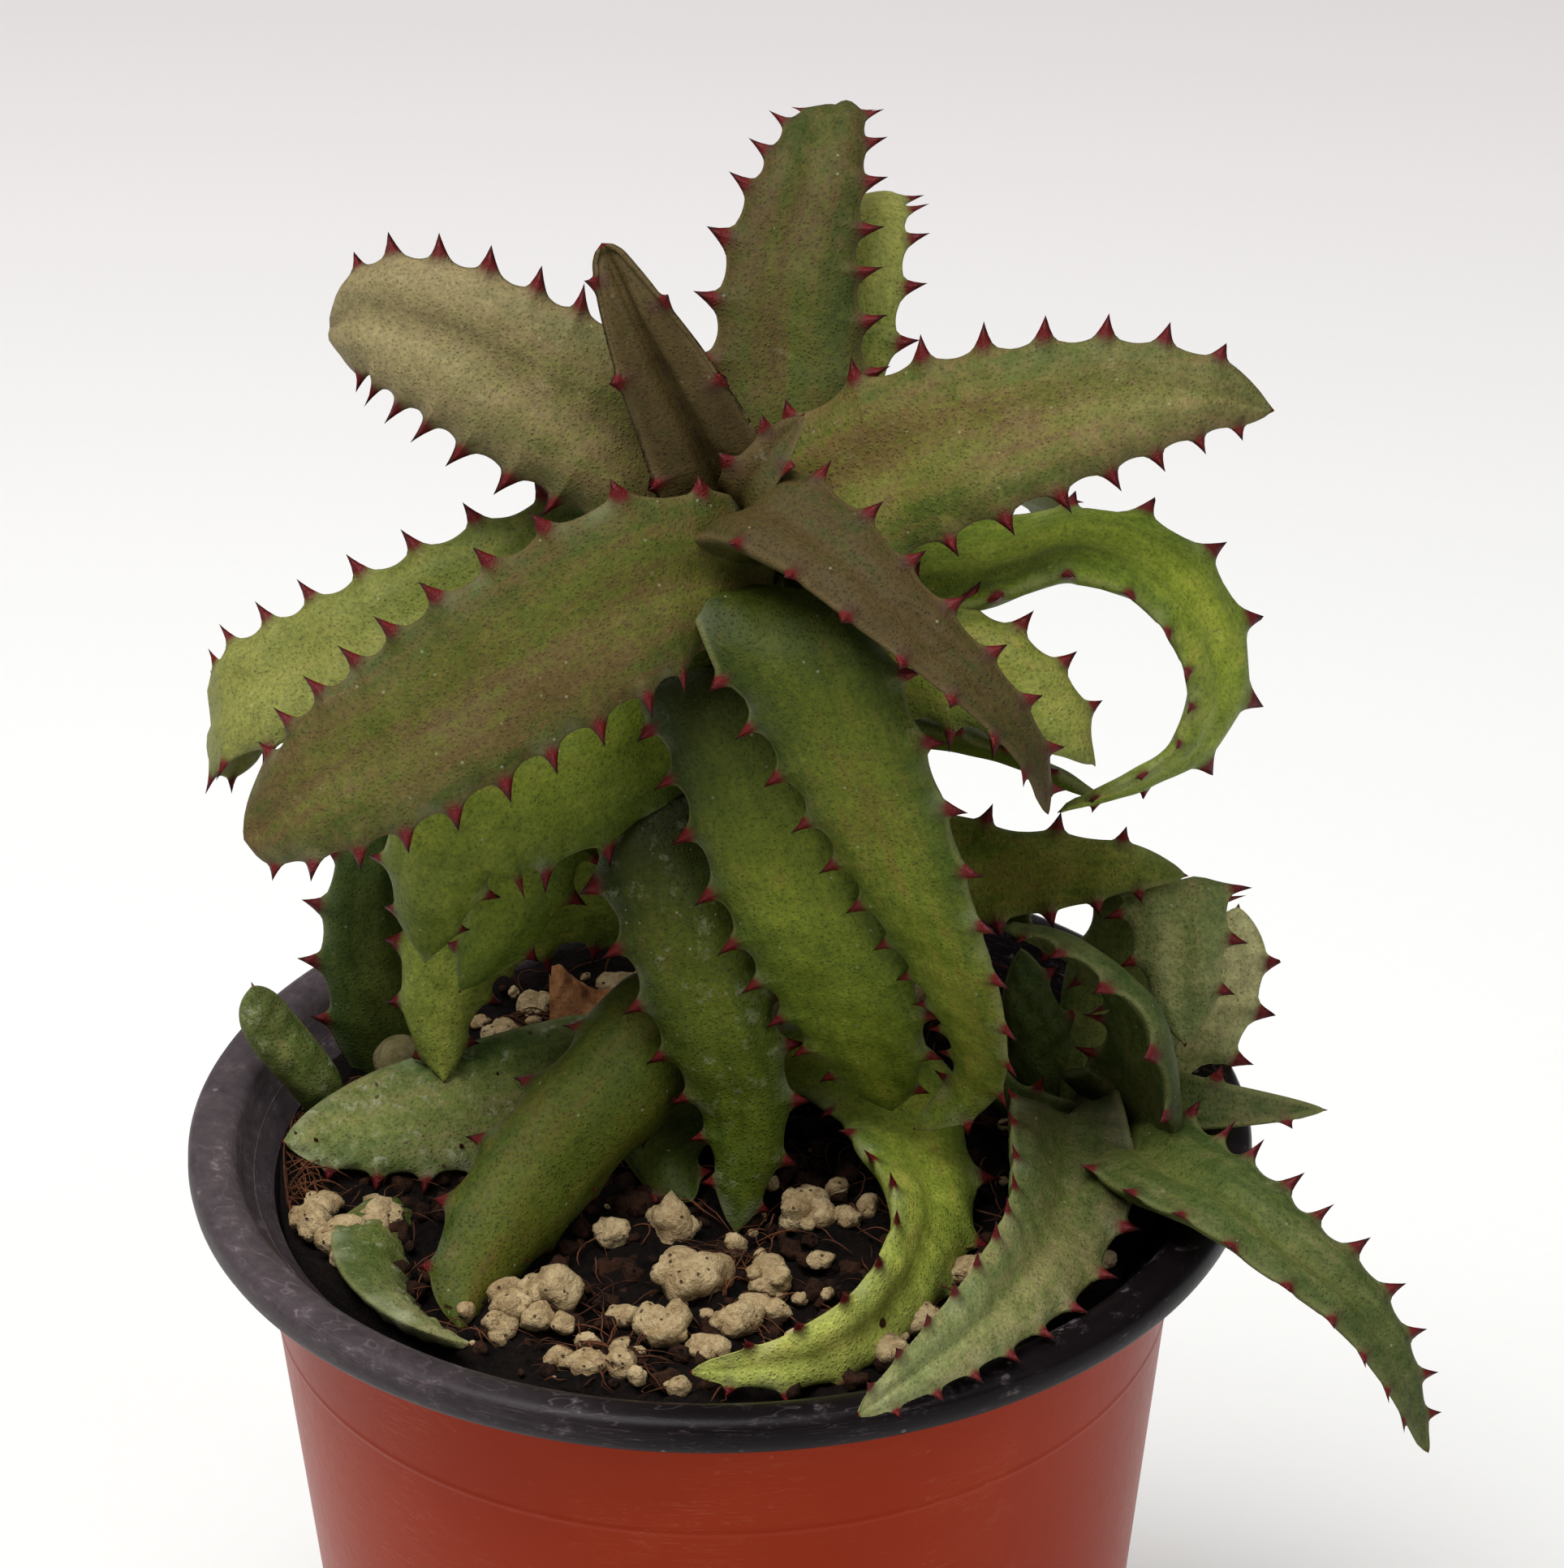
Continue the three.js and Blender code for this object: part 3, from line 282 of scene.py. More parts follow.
@dataclass(frozen=True)
class LeafFinish:
    """A living leaf: patchy green and brown skin with fine warts, and crimson teeth on dark cusps."""

    name: str
    deep: Colour
    fresh: Colour
    olive: Colour
    pale: Colour
    tooth: Colour = (0.105, 0.009, 0.009)
    tooth_tip: Colour = (0.022, 0.006, 0.006)
    halo: Colour = (0.05, 0.02, 0.013)
    edge: Colour = (0.17, 0.17, 0.06)
    scuff: Colour = (0.36, 0.38, 0.25)
    cork: Colour = (0.42, 0.17, 0.05)
    cork_ring: Colour = (0.04, 0.012, 0.008)
    halo_share: float = 0.75
    roughness: float = 0.55
    specular: float = 0.15
    mottle_scale: float = 0.42
    grain_scale: float = 2.1
    wart_scale: float = 2.8
    blotch_scale: float = 0.95
    relief_depth: float = 0.12

    def _skin(self, shader: Shader, mottle: Field, flow: Field) -> Field:
        """The skin's colour before its marks: green where fresh, brown where sunned, pale at tips.

        Args:
            shader: the material in the making.
            mottle: cloudy noise of a few millimetres.
            flow: across and along the leaf in millimetres, and the leaf's own number.

        Returns:
            The colour.
        """
        along, under, _ = shader.attribute("lie").parts()
        brown, pale, _ = shader.attribute("habit").parts()
        _, _, margin = shader.attribute("zone").parts()
        patches = shader.noise(flow.scaled((0.15, 0.06, 1.0)), 1.0, 3.0, 0.55)
        streaks = shader.noise(flow.scaled((0.8, 0.06, 1.0)), 1.0, 3.0, 0.6)
        lively = patches * 0.5 + streaks * 0.5 + mottle * 0.4 + margin.ease(0.2, 5.5) * 0.26
        green = shader.mix(self.deep, self.fresh, lively.ease(0.5, 1.3))
        flushed = brown + (mottle - 0.5) * 0.9 + (streaks - 0.5) * 1.5 + (patches - 0.5) * 1.3
        flushed = flushed + (shader.noise(flow, 0.9, 3.0, 0.7) - 0.5) * 1.1
        colour = shader.mix(green, self.olive, flushed.ease(0.05, 1.0) * (1.0 - under * 0.6))
        worn = pale * (along.ease(0.1, 0.95) * 0.6 + 0.25) + (mottle - 0.5) * 0.35
        return shader.mix(colour, self.pale, worn.ease(0.05, 0.95) * 0.85)

    def _marks(self, shader: Shader, colour: Field, mottle: Field, flow: Field) -> Field:
        """Adds dust, pale flecks, rubbed edges, scabs and corky spots to a colour.

        Args:
            shader: the material in the making.
            colour: the skin's colour.
            mottle: cloudy noise of a few millimetres.
            flow: across and along the leaf in millimetres, and the leaf's own number.

        Returns:
            The marked colour.
        """
        place = shader.place()
        _, _, edge_wear = shader.attribute("lie").parts()
        _, _, cork = shader.attribute("habit").parts()
        _, scab, _ = shader.attribute("painted_light_scab_ribs").parts()
        dust = shader.noise(place, 0.21, 4.0, 0.7).ease(0.56, 0.72) * shader.noise(place, 1.9, 3.0, 0.7)
        flecks, fleck_pick = shader.cells(place, 0.85)
        fleck = flecks.ease(0.15, 0.08) * fleck_pick.ease(0.84, 0.88)
        crust = shader.noise(place, 0.5, 5.0, 0.75).ease(0.54, 0.62) * mottle.ease(0.4, 0.6) * scab
        rubbed = dust.ease(0.3, 0.75) * 0.22 + fleck * 0.4 + edge_wear * 0.7 + crust * 0.6
        colour = shader.mix(colour, self.scuff, rubbed)
        specks, speck_pick = shader.cells(place, 0.62)
        speck = specks.ease(0.2, 0.12) * speck_pick.ease(0.7, 0.75) * scab
        colour = shader.mix(colour, self.cork_ring, speck * 0.8)
        spots, spot_pick = shader.cells(flow.scaled((0.115, 0.115, 1.0)), 1.0)
        chosen = (spot_pick + cork * 0.35).ease(0.97, 0.98) * cork.ease(0.02, 0.1)
        colour = shader.mix(colour, self.cork_ring, spots.ease(0.085, 0.06) * chosen)
        return shader.mix(colour, self.cork, spots.ease(0.05, 0.035) * chosen)

    def build(self) -> bpy.types.Material:
        """Makes the material.

        Returns:
            The material, which reads the attributes that a blade's mesh carries.
        """
        shader = Shader(self.name, self.roughness, self.specular)
        flow = shader.attribute("flow")
        tooth, halo, margin = shader.attribute("zone").parts()
        # The first part is the leaf's painted light, with painted shade at its foot.
        light, _, ribs = shader.attribute("painted_light_scab_ribs").parts()
        place = shader.place()
        mottle = shader.noise(place, self.mottle_scale, 5.0, 0.62)
        grain = shader.noise(place, self.grain_scale, 3.0, 0.75)
        warts, wart_pick = shader.cells(place, self.wart_scale)
        wart = warts.ease(0.5, 0.1) * (wart_pick * 0.6 + 0.4)
        blotch = shader.noise(place, self.blotch_scale, 4.0, 0.7)

        colour = self._skin(shader, mottle, flow)
        shade = 0.06 + grain * 1.55 + mottle * 0.2 + blotch * 0.35 - wart * 0.36
        # Painted light and shade: the skin's tone is scaled by each leaf's painted light, darker at the
        # foot as painted shade.
        colour = shader.tint(colour, shade * light)
        colour = self._marks(shader, colour, mottle, flow)
        line = (margin + (mottle - 0.5) * 0.5).ease(0.5, 0.08)
        colour = shader.mix(colour, self.edge, line * 0.45)
        colour = shader.mix(colour, self.halo, halo.ease(0.2, 1.0) * self.halo_share)
        spike = shader.mix(self.tooth, self.tooth_tip, (tooth + (mottle - 0.5) * 0.5).ease(0.45, 1.0))
        colour = shader.mix(colour, spike, tooth.ease(0.03, 0.3))

        roughness = self.roughness + (grain - 0.5) * 0.24 + (mottle - 0.5) * 0.15
        roughness = roughness - tooth.ease(0.1, 0.5) * 0.15
        relief = grain * 0.5 + wart * 0.55 + mottle * 0.8 + blotch * 0.5 + ribs * 0.2
        return shader.finish(colour, roughness, relief, self.relief_depth)


@dataclass(frozen=True)
class PlasticFinish:
    """Moulded plastic with a little dirt: scuffs of dust, thin scratches, and dried splashes.

    A pale mark grows towards -X by the side share and is full at the reach from the middle:
    partly wear, and partly a painted reflection of light on that side.
    """

    name: str
    colour: Colour
    shade: Colour
    scuff: Colour
    scuff_share: float
    roughness: float
    gloss: float
    sheen_and_wear_side: float
    sheen_and_wear_reach: float = 46.0
    scratch_share: float = 0.25
    relief_depth: float = 0.05

    def build(self) -> bpy.types.Material:
        """Makes the material.

        Returns:
            The material.
        """
        shader = Shader(self.name, self.roughness, self.gloss)
        place = shader.place()
        across, _, _ = place.parts()
        broad = shader.noise(place, 0.045, 3.0, 0.5)
        fine = shader.noise(place, 0.8, 4.0, 0.65)
        grain = shader.noise(place, 4.5, 2.0, 0.5)
        colour = shader.mix(self.colour, self.shade, broad.ease(0.35, 0.7) * 0.6 + fine * 0.1)
        scratched = shader.noise(place.scaled((1.0, 1.0, 3.2)), 0.22, 6.0, 0.75)
        dust_and_sheen = scratched.ease(0.54, 0.72) * fine.ease(0.35, 0.7) * self.scuff_share
        # Painted reflection and wear: the side towards -X is paled, partly as scuffs and partly as a
        # painted reflection.
        worn = across.ease(0.0, -self.sheen_and_wear_reach) * self.sheen_and_wear_side
        dust_and_sheen = dust_and_sheen + worn * (scratched * 0.7 + fine * 0.35 - 0.1)
        threads = shader.noise(place.scaled((0.3, 0.3, 5.0)), 0.5, 2.0, 0.5)
        scratch = threads.ease(0.5, 0.515) * threads.ease(0.53, 0.515)
        dust_and_sheen = dust_and_sheen + scratch * broad.ease(0.4, 0.6) * self.scratch_share
        dots, pick = shader.cells(place, 0.42)
        splash = dots.ease(0.14, 0.07) * pick.ease(0.82, 0.88) * self.scuff_share
        colour = shader.mix(colour, self.scuff, dust_and_sheen + splash * 0.7)
        roughness = self.roughness + (fine - 0.5) * 0.16 + dust_and_sheen * 0.3 + (grain - 0.5) * 0.06
        relief = fine * 0.5 + grain * 0.25 + broad * 0.8
        return shader.finish(colour, roughness, relief, self.relief_depth)


@dataclass(frozen=True)
class EarthFinish:
    """Crumbly matter such as coir, pumice or bark: patchy colour, dark pits and a rough face."""

    name: str
    dark: Colour
    light: Colour
    pit_shade: Colour
    patch: float
    grain: float
    pits: float
    relief: float
    roughness: float = 0.92
    specular: float = 0.12

    def build(self) -> bpy.types.Material:
        """Makes the material.

        Returns:
            The material.
        """
        shader = Shader(self.name, self.roughness, self.specular)
        place = shader.place()
        patch = shader.noise(place, self.patch, 5.0, 0.6)
        grain = shader.noise(place, self.grain, 4.0, 0.7)
        holes, pick = shader.cells(place, self.pits)
        # Painted shade: the pits are sunk in the relief and darkened where their hollows would be shaded.
        pit_shade = (holes + (grain - 0.5) * 0.35).ease(0.24, 0.1) * pick.ease(0.6, 0.72)
        colour = shader.mix(self.dark, self.light, (patch * 0.7 + grain * 0.55).ease(0.42, 0.85))
        colour = shader.mix(colour, self.pit_shade, pit_shade * 0.85)
        relief = grain + patch * 0.7 - pit_shade * 0.8
        return shader.finish(colour, 0.82 + grain * 0.16, relief, self.relief)


@dataclass(frozen=True)
class FloorFinish:
    """The pale table top that the pot stands on, which greys a little with distance."""

    name: str = "pale_floor"
    near: Colour = (0.87, 0.875, 0.86)
    far: Colour = (0.72, 0.655, 0.67)
    painted_shade_from: float = 190.0
    painted_shade_to: float = 640.0

    def build(self) -> bpy.types.Material:
        """Makes the material.

        Returns:
            The material.
        """
        shader = Shader(self.name, 0.8, 0.1)
        place = shader.place()
        _, depth, _ = place.parts()
        paper = shader.noise(place, 0.6, 3.0, 0.5)
        # Painted shade: the table greys and turns a little lilac further back, where the light on it falls
        # off.
        colour = shader.mix(self.near, self.far, depth.ease(self.painted_shade_from, self.painted_shade_to))
        colour = shader.tint(colour, 0.99 + paper * 0.02)
        return shader.finish(colour, 0.75 + paper * 0.1, paper, 0.01)


LEAF_FINISHES: dict[Tone, LeafFinish] = {
    Tone.UPPER: LeafFinish(
        "upper_leaf_skin", deep=(0.042, 0.06, 0.007), fresh=(0.14, 0.145, 0.017),
        olive=(0.094, 0.062, 0.018), pale=(0.3, 0.235, 0.12), roughness=0.62,
        edge=(0.12, 0.085, 0.035),
    ),
    Tone.LOWER: LeafFinish(
        "lower_leaf_skin", deep=(0.043, 0.068, 0.005), fresh=(0.145, 0.178, 0.014),
        olive=(0.125, 0.1, 0.016), pale=(0.27, 0.27, 0.07), roughness=0.55,
        halo_share=0.5,
    ),
    Tone.OFFSET: LeafFinish(
        "offset_leaf_skin", deep=(0.034, 0.06, 0.01), fresh=(0.12, 0.14, 0.026),
        olive=(0.115, 0.098, 0.036), pale=(0.26, 0.24, 0.12), roughness=0.62,
        halo_share=0.4,
    ),
}
STEM_FINISH = EarthFinish(
    "stem_bark", dark=(0.09, 0.075, 0.03), light=(0.2, 0.17, 0.08), pit_shade=(0.05, 0.03, 0.015),
    patch=0.35, grain=1.6, pits=0.8, relief=0.25,
)
# Partly painted shade: the coir's own dark brown is darkened further to stand in for the shade under the
# leaves.
SOIL_AND_SHADE_FINISH = EarthFinish(
    "coir_soil_and_painted_shade", dark=(0.0016, 0.0012, 0.001), light=(0.011, 0.0058, 0.0042), pit_shade=(0.001, 0.0008, 0.0008),
    patch=0.3, grain=1.8, pits=0.7, relief=0.9,
)
CRUMB_FINISH = EarthFinish(
    "coir_crumb", dark=(0.004, 0.0025, 0.002), light=(0.05, 0.02, 0.01), pit_shade=(0.002, 0.0015, 0.0015),
    patch=0.3, grain=1.6, pits=0.9, relief=0.5,
)
PUMICE_FINISH = EarthFinish(
    "pumice", dark=(0.26, 0.165, 0.075), light=(0.6, 0.465, 0.26), pit_shade=(0.045, 0.02, 0.01),
    patch=0.3, grain=1.9, pits=1.15, relief=0.55,
)
FIBRE_FINISH = EarthFinish(
    "coir_fibre", dark=(0.022, 0.008, 0.005), light=(0.15, 0.055, 0.025), pit_shade=(0.015, 0.007, 0.005),
    patch=0.12, grain=1.2, pits=0.5, relief=0.05,
)
DRY_FINISH = EarthFinish(
    "withered_leaf_skin", dark=(0.16, 0.055, 0.02), light=(0.46, 0.22, 0.09), pit_shade=(0.06, 0.022, 0.01),
    patch=0.3, grain=0.9, pits=0.8, relief=0.25,
)
WALL_FINISH = PlasticFinish(
    "terracotta_plastic", colour=(0.285, 0.022, 0.002), shade=(0.33, 0.032, 0.005),
    scuff=(0.5, 0.2, 0.12), scuff_share=0.14, roughness=0.33, gloss=0.08, sheen_and_wear_side=0.0,
)
# The lip's pale side towards -X is partly scuffs and partly a painted reflection of light.
LIP_FINISH = PlasticFinish(
    "dark_lip_plastic", colour=(0.004, 0.0025, 0.0034), shade=(0.009, 0.0055, 0.0075),
    scuff=(0.19, 0.15, 0.16), scuff_share=0.7, roughness=0.36, gloss=0.1, sheen_and_wear_side=0.75,
)


# Shape helpers

LEAST_LENGTH = 1e-6
NOISE_WAVES = (127.1, 311.7, 74.7)
NOISE_STEP = 53.3
NOISE_STRETCH = 43758.5453


class SmoothLine:
    """A smooth line through points, read by its share of the length."""

    def __init__(self, points: tuple[Point, ...], steps: int = 40) -> None:
        """Samples the line.

        Args:
            points: the points that it runs through.
            steps: samples between two of them.
        """
        corners = [Vector(point) for point in points]
        corners.insert(0, corners[0] * 2 - corners[1])
        corners.append(corners[-1] * 2 - corners[-2])
        samples = []
        for here in range(1, len(corners) - 2):
            samples += self._stretch(corners[here - 1:here + 3], steps)
        samples.append(corners[-2])
        self.samples = np.array([list(sample) for sample in samples])
        strides = np.linalg.norm(np.diff(self.samples, axis=0), axis=1)
        self.reach = np.concatenate([[0.0], np.cumsum(strides)])
        self.length = float(self.reach[-1])
        self.tangents = np.gradient(self.samples, self.reach, axis=0)

    @staticmethod
    def _stretch(corners: list[Vector], steps: int) -> list[Vector]:
        """Points from the second of four corners to just before the third.

        Args:
            corners: four corners in order.
            steps: how many points.

        Returns:
            The points.
        """
        before, start, end, after = corners
        chords = (start - before, end - start, after - end)
        gaps = [max(chord.length, LEAST_LENGTH) ** 0.5 for chord in chords]
        first = (start - before) / gaps[0] - (end - before) / (gaps[0] + gaps[1]) + (end - start) / gaps[1]
        last = (end - start) / gaps[1] - (after - start) / (gaps[1] + gaps[2]) + (after - end) / gaps[2]
        first, last = first * gaps[1], last * gaps[1]
        square = (end - start) * 3 - first * 2 - last
        cube = (start - end) * 2 + first + last
        shares = [step / steps for step in range(steps)]
        return [start + first * w + square * w ** 2 + cube * w ** 3 for w in shares]

    def at(self, shares: np.ndarray) -> tuple[np.ndarray, np.ndarray]:
        """Reads the line.

        Args:
            shares: shares of its length.

        Returns:
            The points there, and the unit directions.
        """
        reach = np.asarray(shares) * self.length
        points, along = (
            np.stack([np.interp(reach, self.reach, column) for column in table.T], 1)
            for table in (self.samples, self.tangents)
        )
        return points, unit(along)


def unit(vectors: np.ndarray) -> np.ndarray:
    """Vectors brought to length 1."""
    return vectors / np.maximum(np.linalg.norm(vectors, axis=-1, keepdims=True), 1e-12)


def ease(values: np.ndarray | float) -> np.ndarray:
    """A smooth step from 0 to 1."""
    held = np.clip(values, 0.0, 1.0)
    return held * held * (3 - 2 * held)


def lumps(points: np.ndarray, scale: float, seed: int) -> np.ndarray:
    """Smooth repeatable noise from -1 to 1 at points in space.

    Args:
        points: one point in each row.
        scale: lumps for each unit.
        seed: which noise.

    Returns:
        One number for each point.
    """
    cell = np.floor(points * scale)
    inside = ease(points * scale - cell)
    total = np.zeros(len(points))
    for corner in np.ndindex(2, 2, 2):
        at = cell + corner
        wave = np.sin(at @ np.array(NOISE_WAVES) + seed * NOISE_STEP) * NOISE_STRETCH
        weight = np.prod(np.where(np.array(corner) == 1, inside, 1 - inside), axis=1)
        total += weight * (wave - np.floor(wave))
    return total * 2 - 1


def crumpled(points: np.ndarray, scale: float, seed: int, layers: int) -> np.ndarray:
    """Layers of ever finer lumps.

    Args:
        points: one point in each row.
        scale: lumps for each unit in the coarsest layer.
        seed: which noise.
        layers: how many layers, each twice as fine and half as strong.

    Returns:
        One number for each point, about -1 to 1.
    """
    total = np.zeros(len(points))
    for layer in range(layers):
        total += lumps(points, scale * 2 ** layer, seed + layer) * 0.5 ** layer
    return total / 1.5


def deselect() -> None:
    """Deselects every object."""
    bpy.ops.object.select_all(action="DESELECT")


def pick(piece: bpy.types.Object) -> None:
    """Selects one object alone and makes it the active one.

    Args:
        piece: the object.
    """
    deselect()
    piece.select_set(True)
    bpy.context.view_layer.objects.active = piece


def outward(mesh: bpy.types.Mesh) -> None:
    """Turns a closed mesh so that its faces point outwards.

    Args:
        mesh: the mesh, which is changed in place.
    """
    work = bmesh.new()
    work.from_mesh(mesh)
    if work.calc_volume(signed=True) < 0:
        bmesh.ops.reverse_faces(work, faces=work.faces)
    work.to_mesh(mesh)
    work.free()


def skin(
    name: str,
    points: np.ndarray,
    faces: list[tuple[int, ...]],
    material: bpy.types.Material,
    smooth: bool = True,
) -> bpy.types.Object:
    """Makes an object of points in millimetres.

    Args:
        name: the object's name.
        points: one point in each row.
        faces: corner numbers of each face.
        material: its finish.
        smooth: whether its faces are shaded smooth.

    Returns:
        The object, with its place in its mesh.
    """
    mesh = bpy.data.meshes.new(name)
    mesh.from_pydata((np.asarray(points) * MM).tolist(), [], faces)
    mesh.update()
    outward(mesh)
    mesh.polygons.foreach_set("use_smooth", [smooth] * len(mesh.polygons))
    mesh.materials.append(material)
    piece = bpy.data.objects.new(name, mesh)
    bpy.context.scene.collection.objects.link(piece)
    return piece


def hose_faces(rings: int, sides: int) -> list[tuple[int, ...]]:
    """Faces between rings of points that are joined in order, open at both ends.

    Args:
        rings: how many rings.
        sides: points in each ring.

    Returns:
        The corner numbers of each face.
    """
    faces = []
    for low in range(0, (rings - 1) * sides, sides):
        for side in range(sides):
            follow = (side + 1) % sides
            faces.append((low + side, low + follow, low + sides + follow, low + sides + side))
    return faces


def tube_faces(rings: int, sides: int) -> list[tuple[int, ...]]:
    """Faces of a closed tube, with a many-sided face over each end.

    Args:
        rings: how many rings of points.
        sides: points in each ring.

    Returns:
        The corner numbers of each face.
    """
    faces = hose_faces(rings, sides)
    last = (rings - 1) * sides
    faces.append(tuple(reversed(range(sides))))
    faces.append(tuple(last + side for side in range(sides)))
    return faces


def declare(piece: bpy.types.Object, nodes: tuple[str, ...], slot: str) -> None:
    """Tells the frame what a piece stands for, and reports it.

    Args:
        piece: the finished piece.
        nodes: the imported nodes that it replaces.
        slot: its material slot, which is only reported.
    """
    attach(piece, BODY)
    if nodes:
        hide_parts(*nodes)
    LOG.info("%s: %d faces, slot %s", piece.name, len(piece.data.polygons), slot)


# Leaves

@dataclass(frozen=True)
class BladeShape:
    """One leaf as the part's source gives it, and how its skin is coloured and worn.

    Lengths are in millimetres, curl is in degrees at the foot and at the tip, and teeth are the
    first one's distance from the foot and their pitch. From brown to prickles the values are
    looks. Of these, light is painted light, a brightness factor for the whole skin, and foot is
    painted shade, the share of that brightness left at the leaf's foot where other leaves
    shade it. Those that stand here are a plain leaf's, and BLADES names what differs.
    """

    node: str
    tone: Tone
    spine: tuple[Point, ...]
    across: Point
    across_tip: Point | None = None
    width: float = 14.0
    thickness: float = 4.2
    curl: Pair = (10, 10)
    blunt: float = 2.4
    base: float = 0.7
    right_teeth: Pair = (11, 5.2)
    left_teeth: Pair = (13, 5.2)
    brown: float = 0.1
    pale: float = 0.3
    cork: float = 0.0
    # Painted light and shade: light scales the whole skin's brightness, and foot darkens its foot.
    light: float = 1.0
    foot: float = 1.0
    groove: float = 0.0
    round: float = 0.72
    wear: float = 0.0
    scab: float = 0.0
    bumps: float = 1.0
    prickles: tuple[Point, ...] = ()


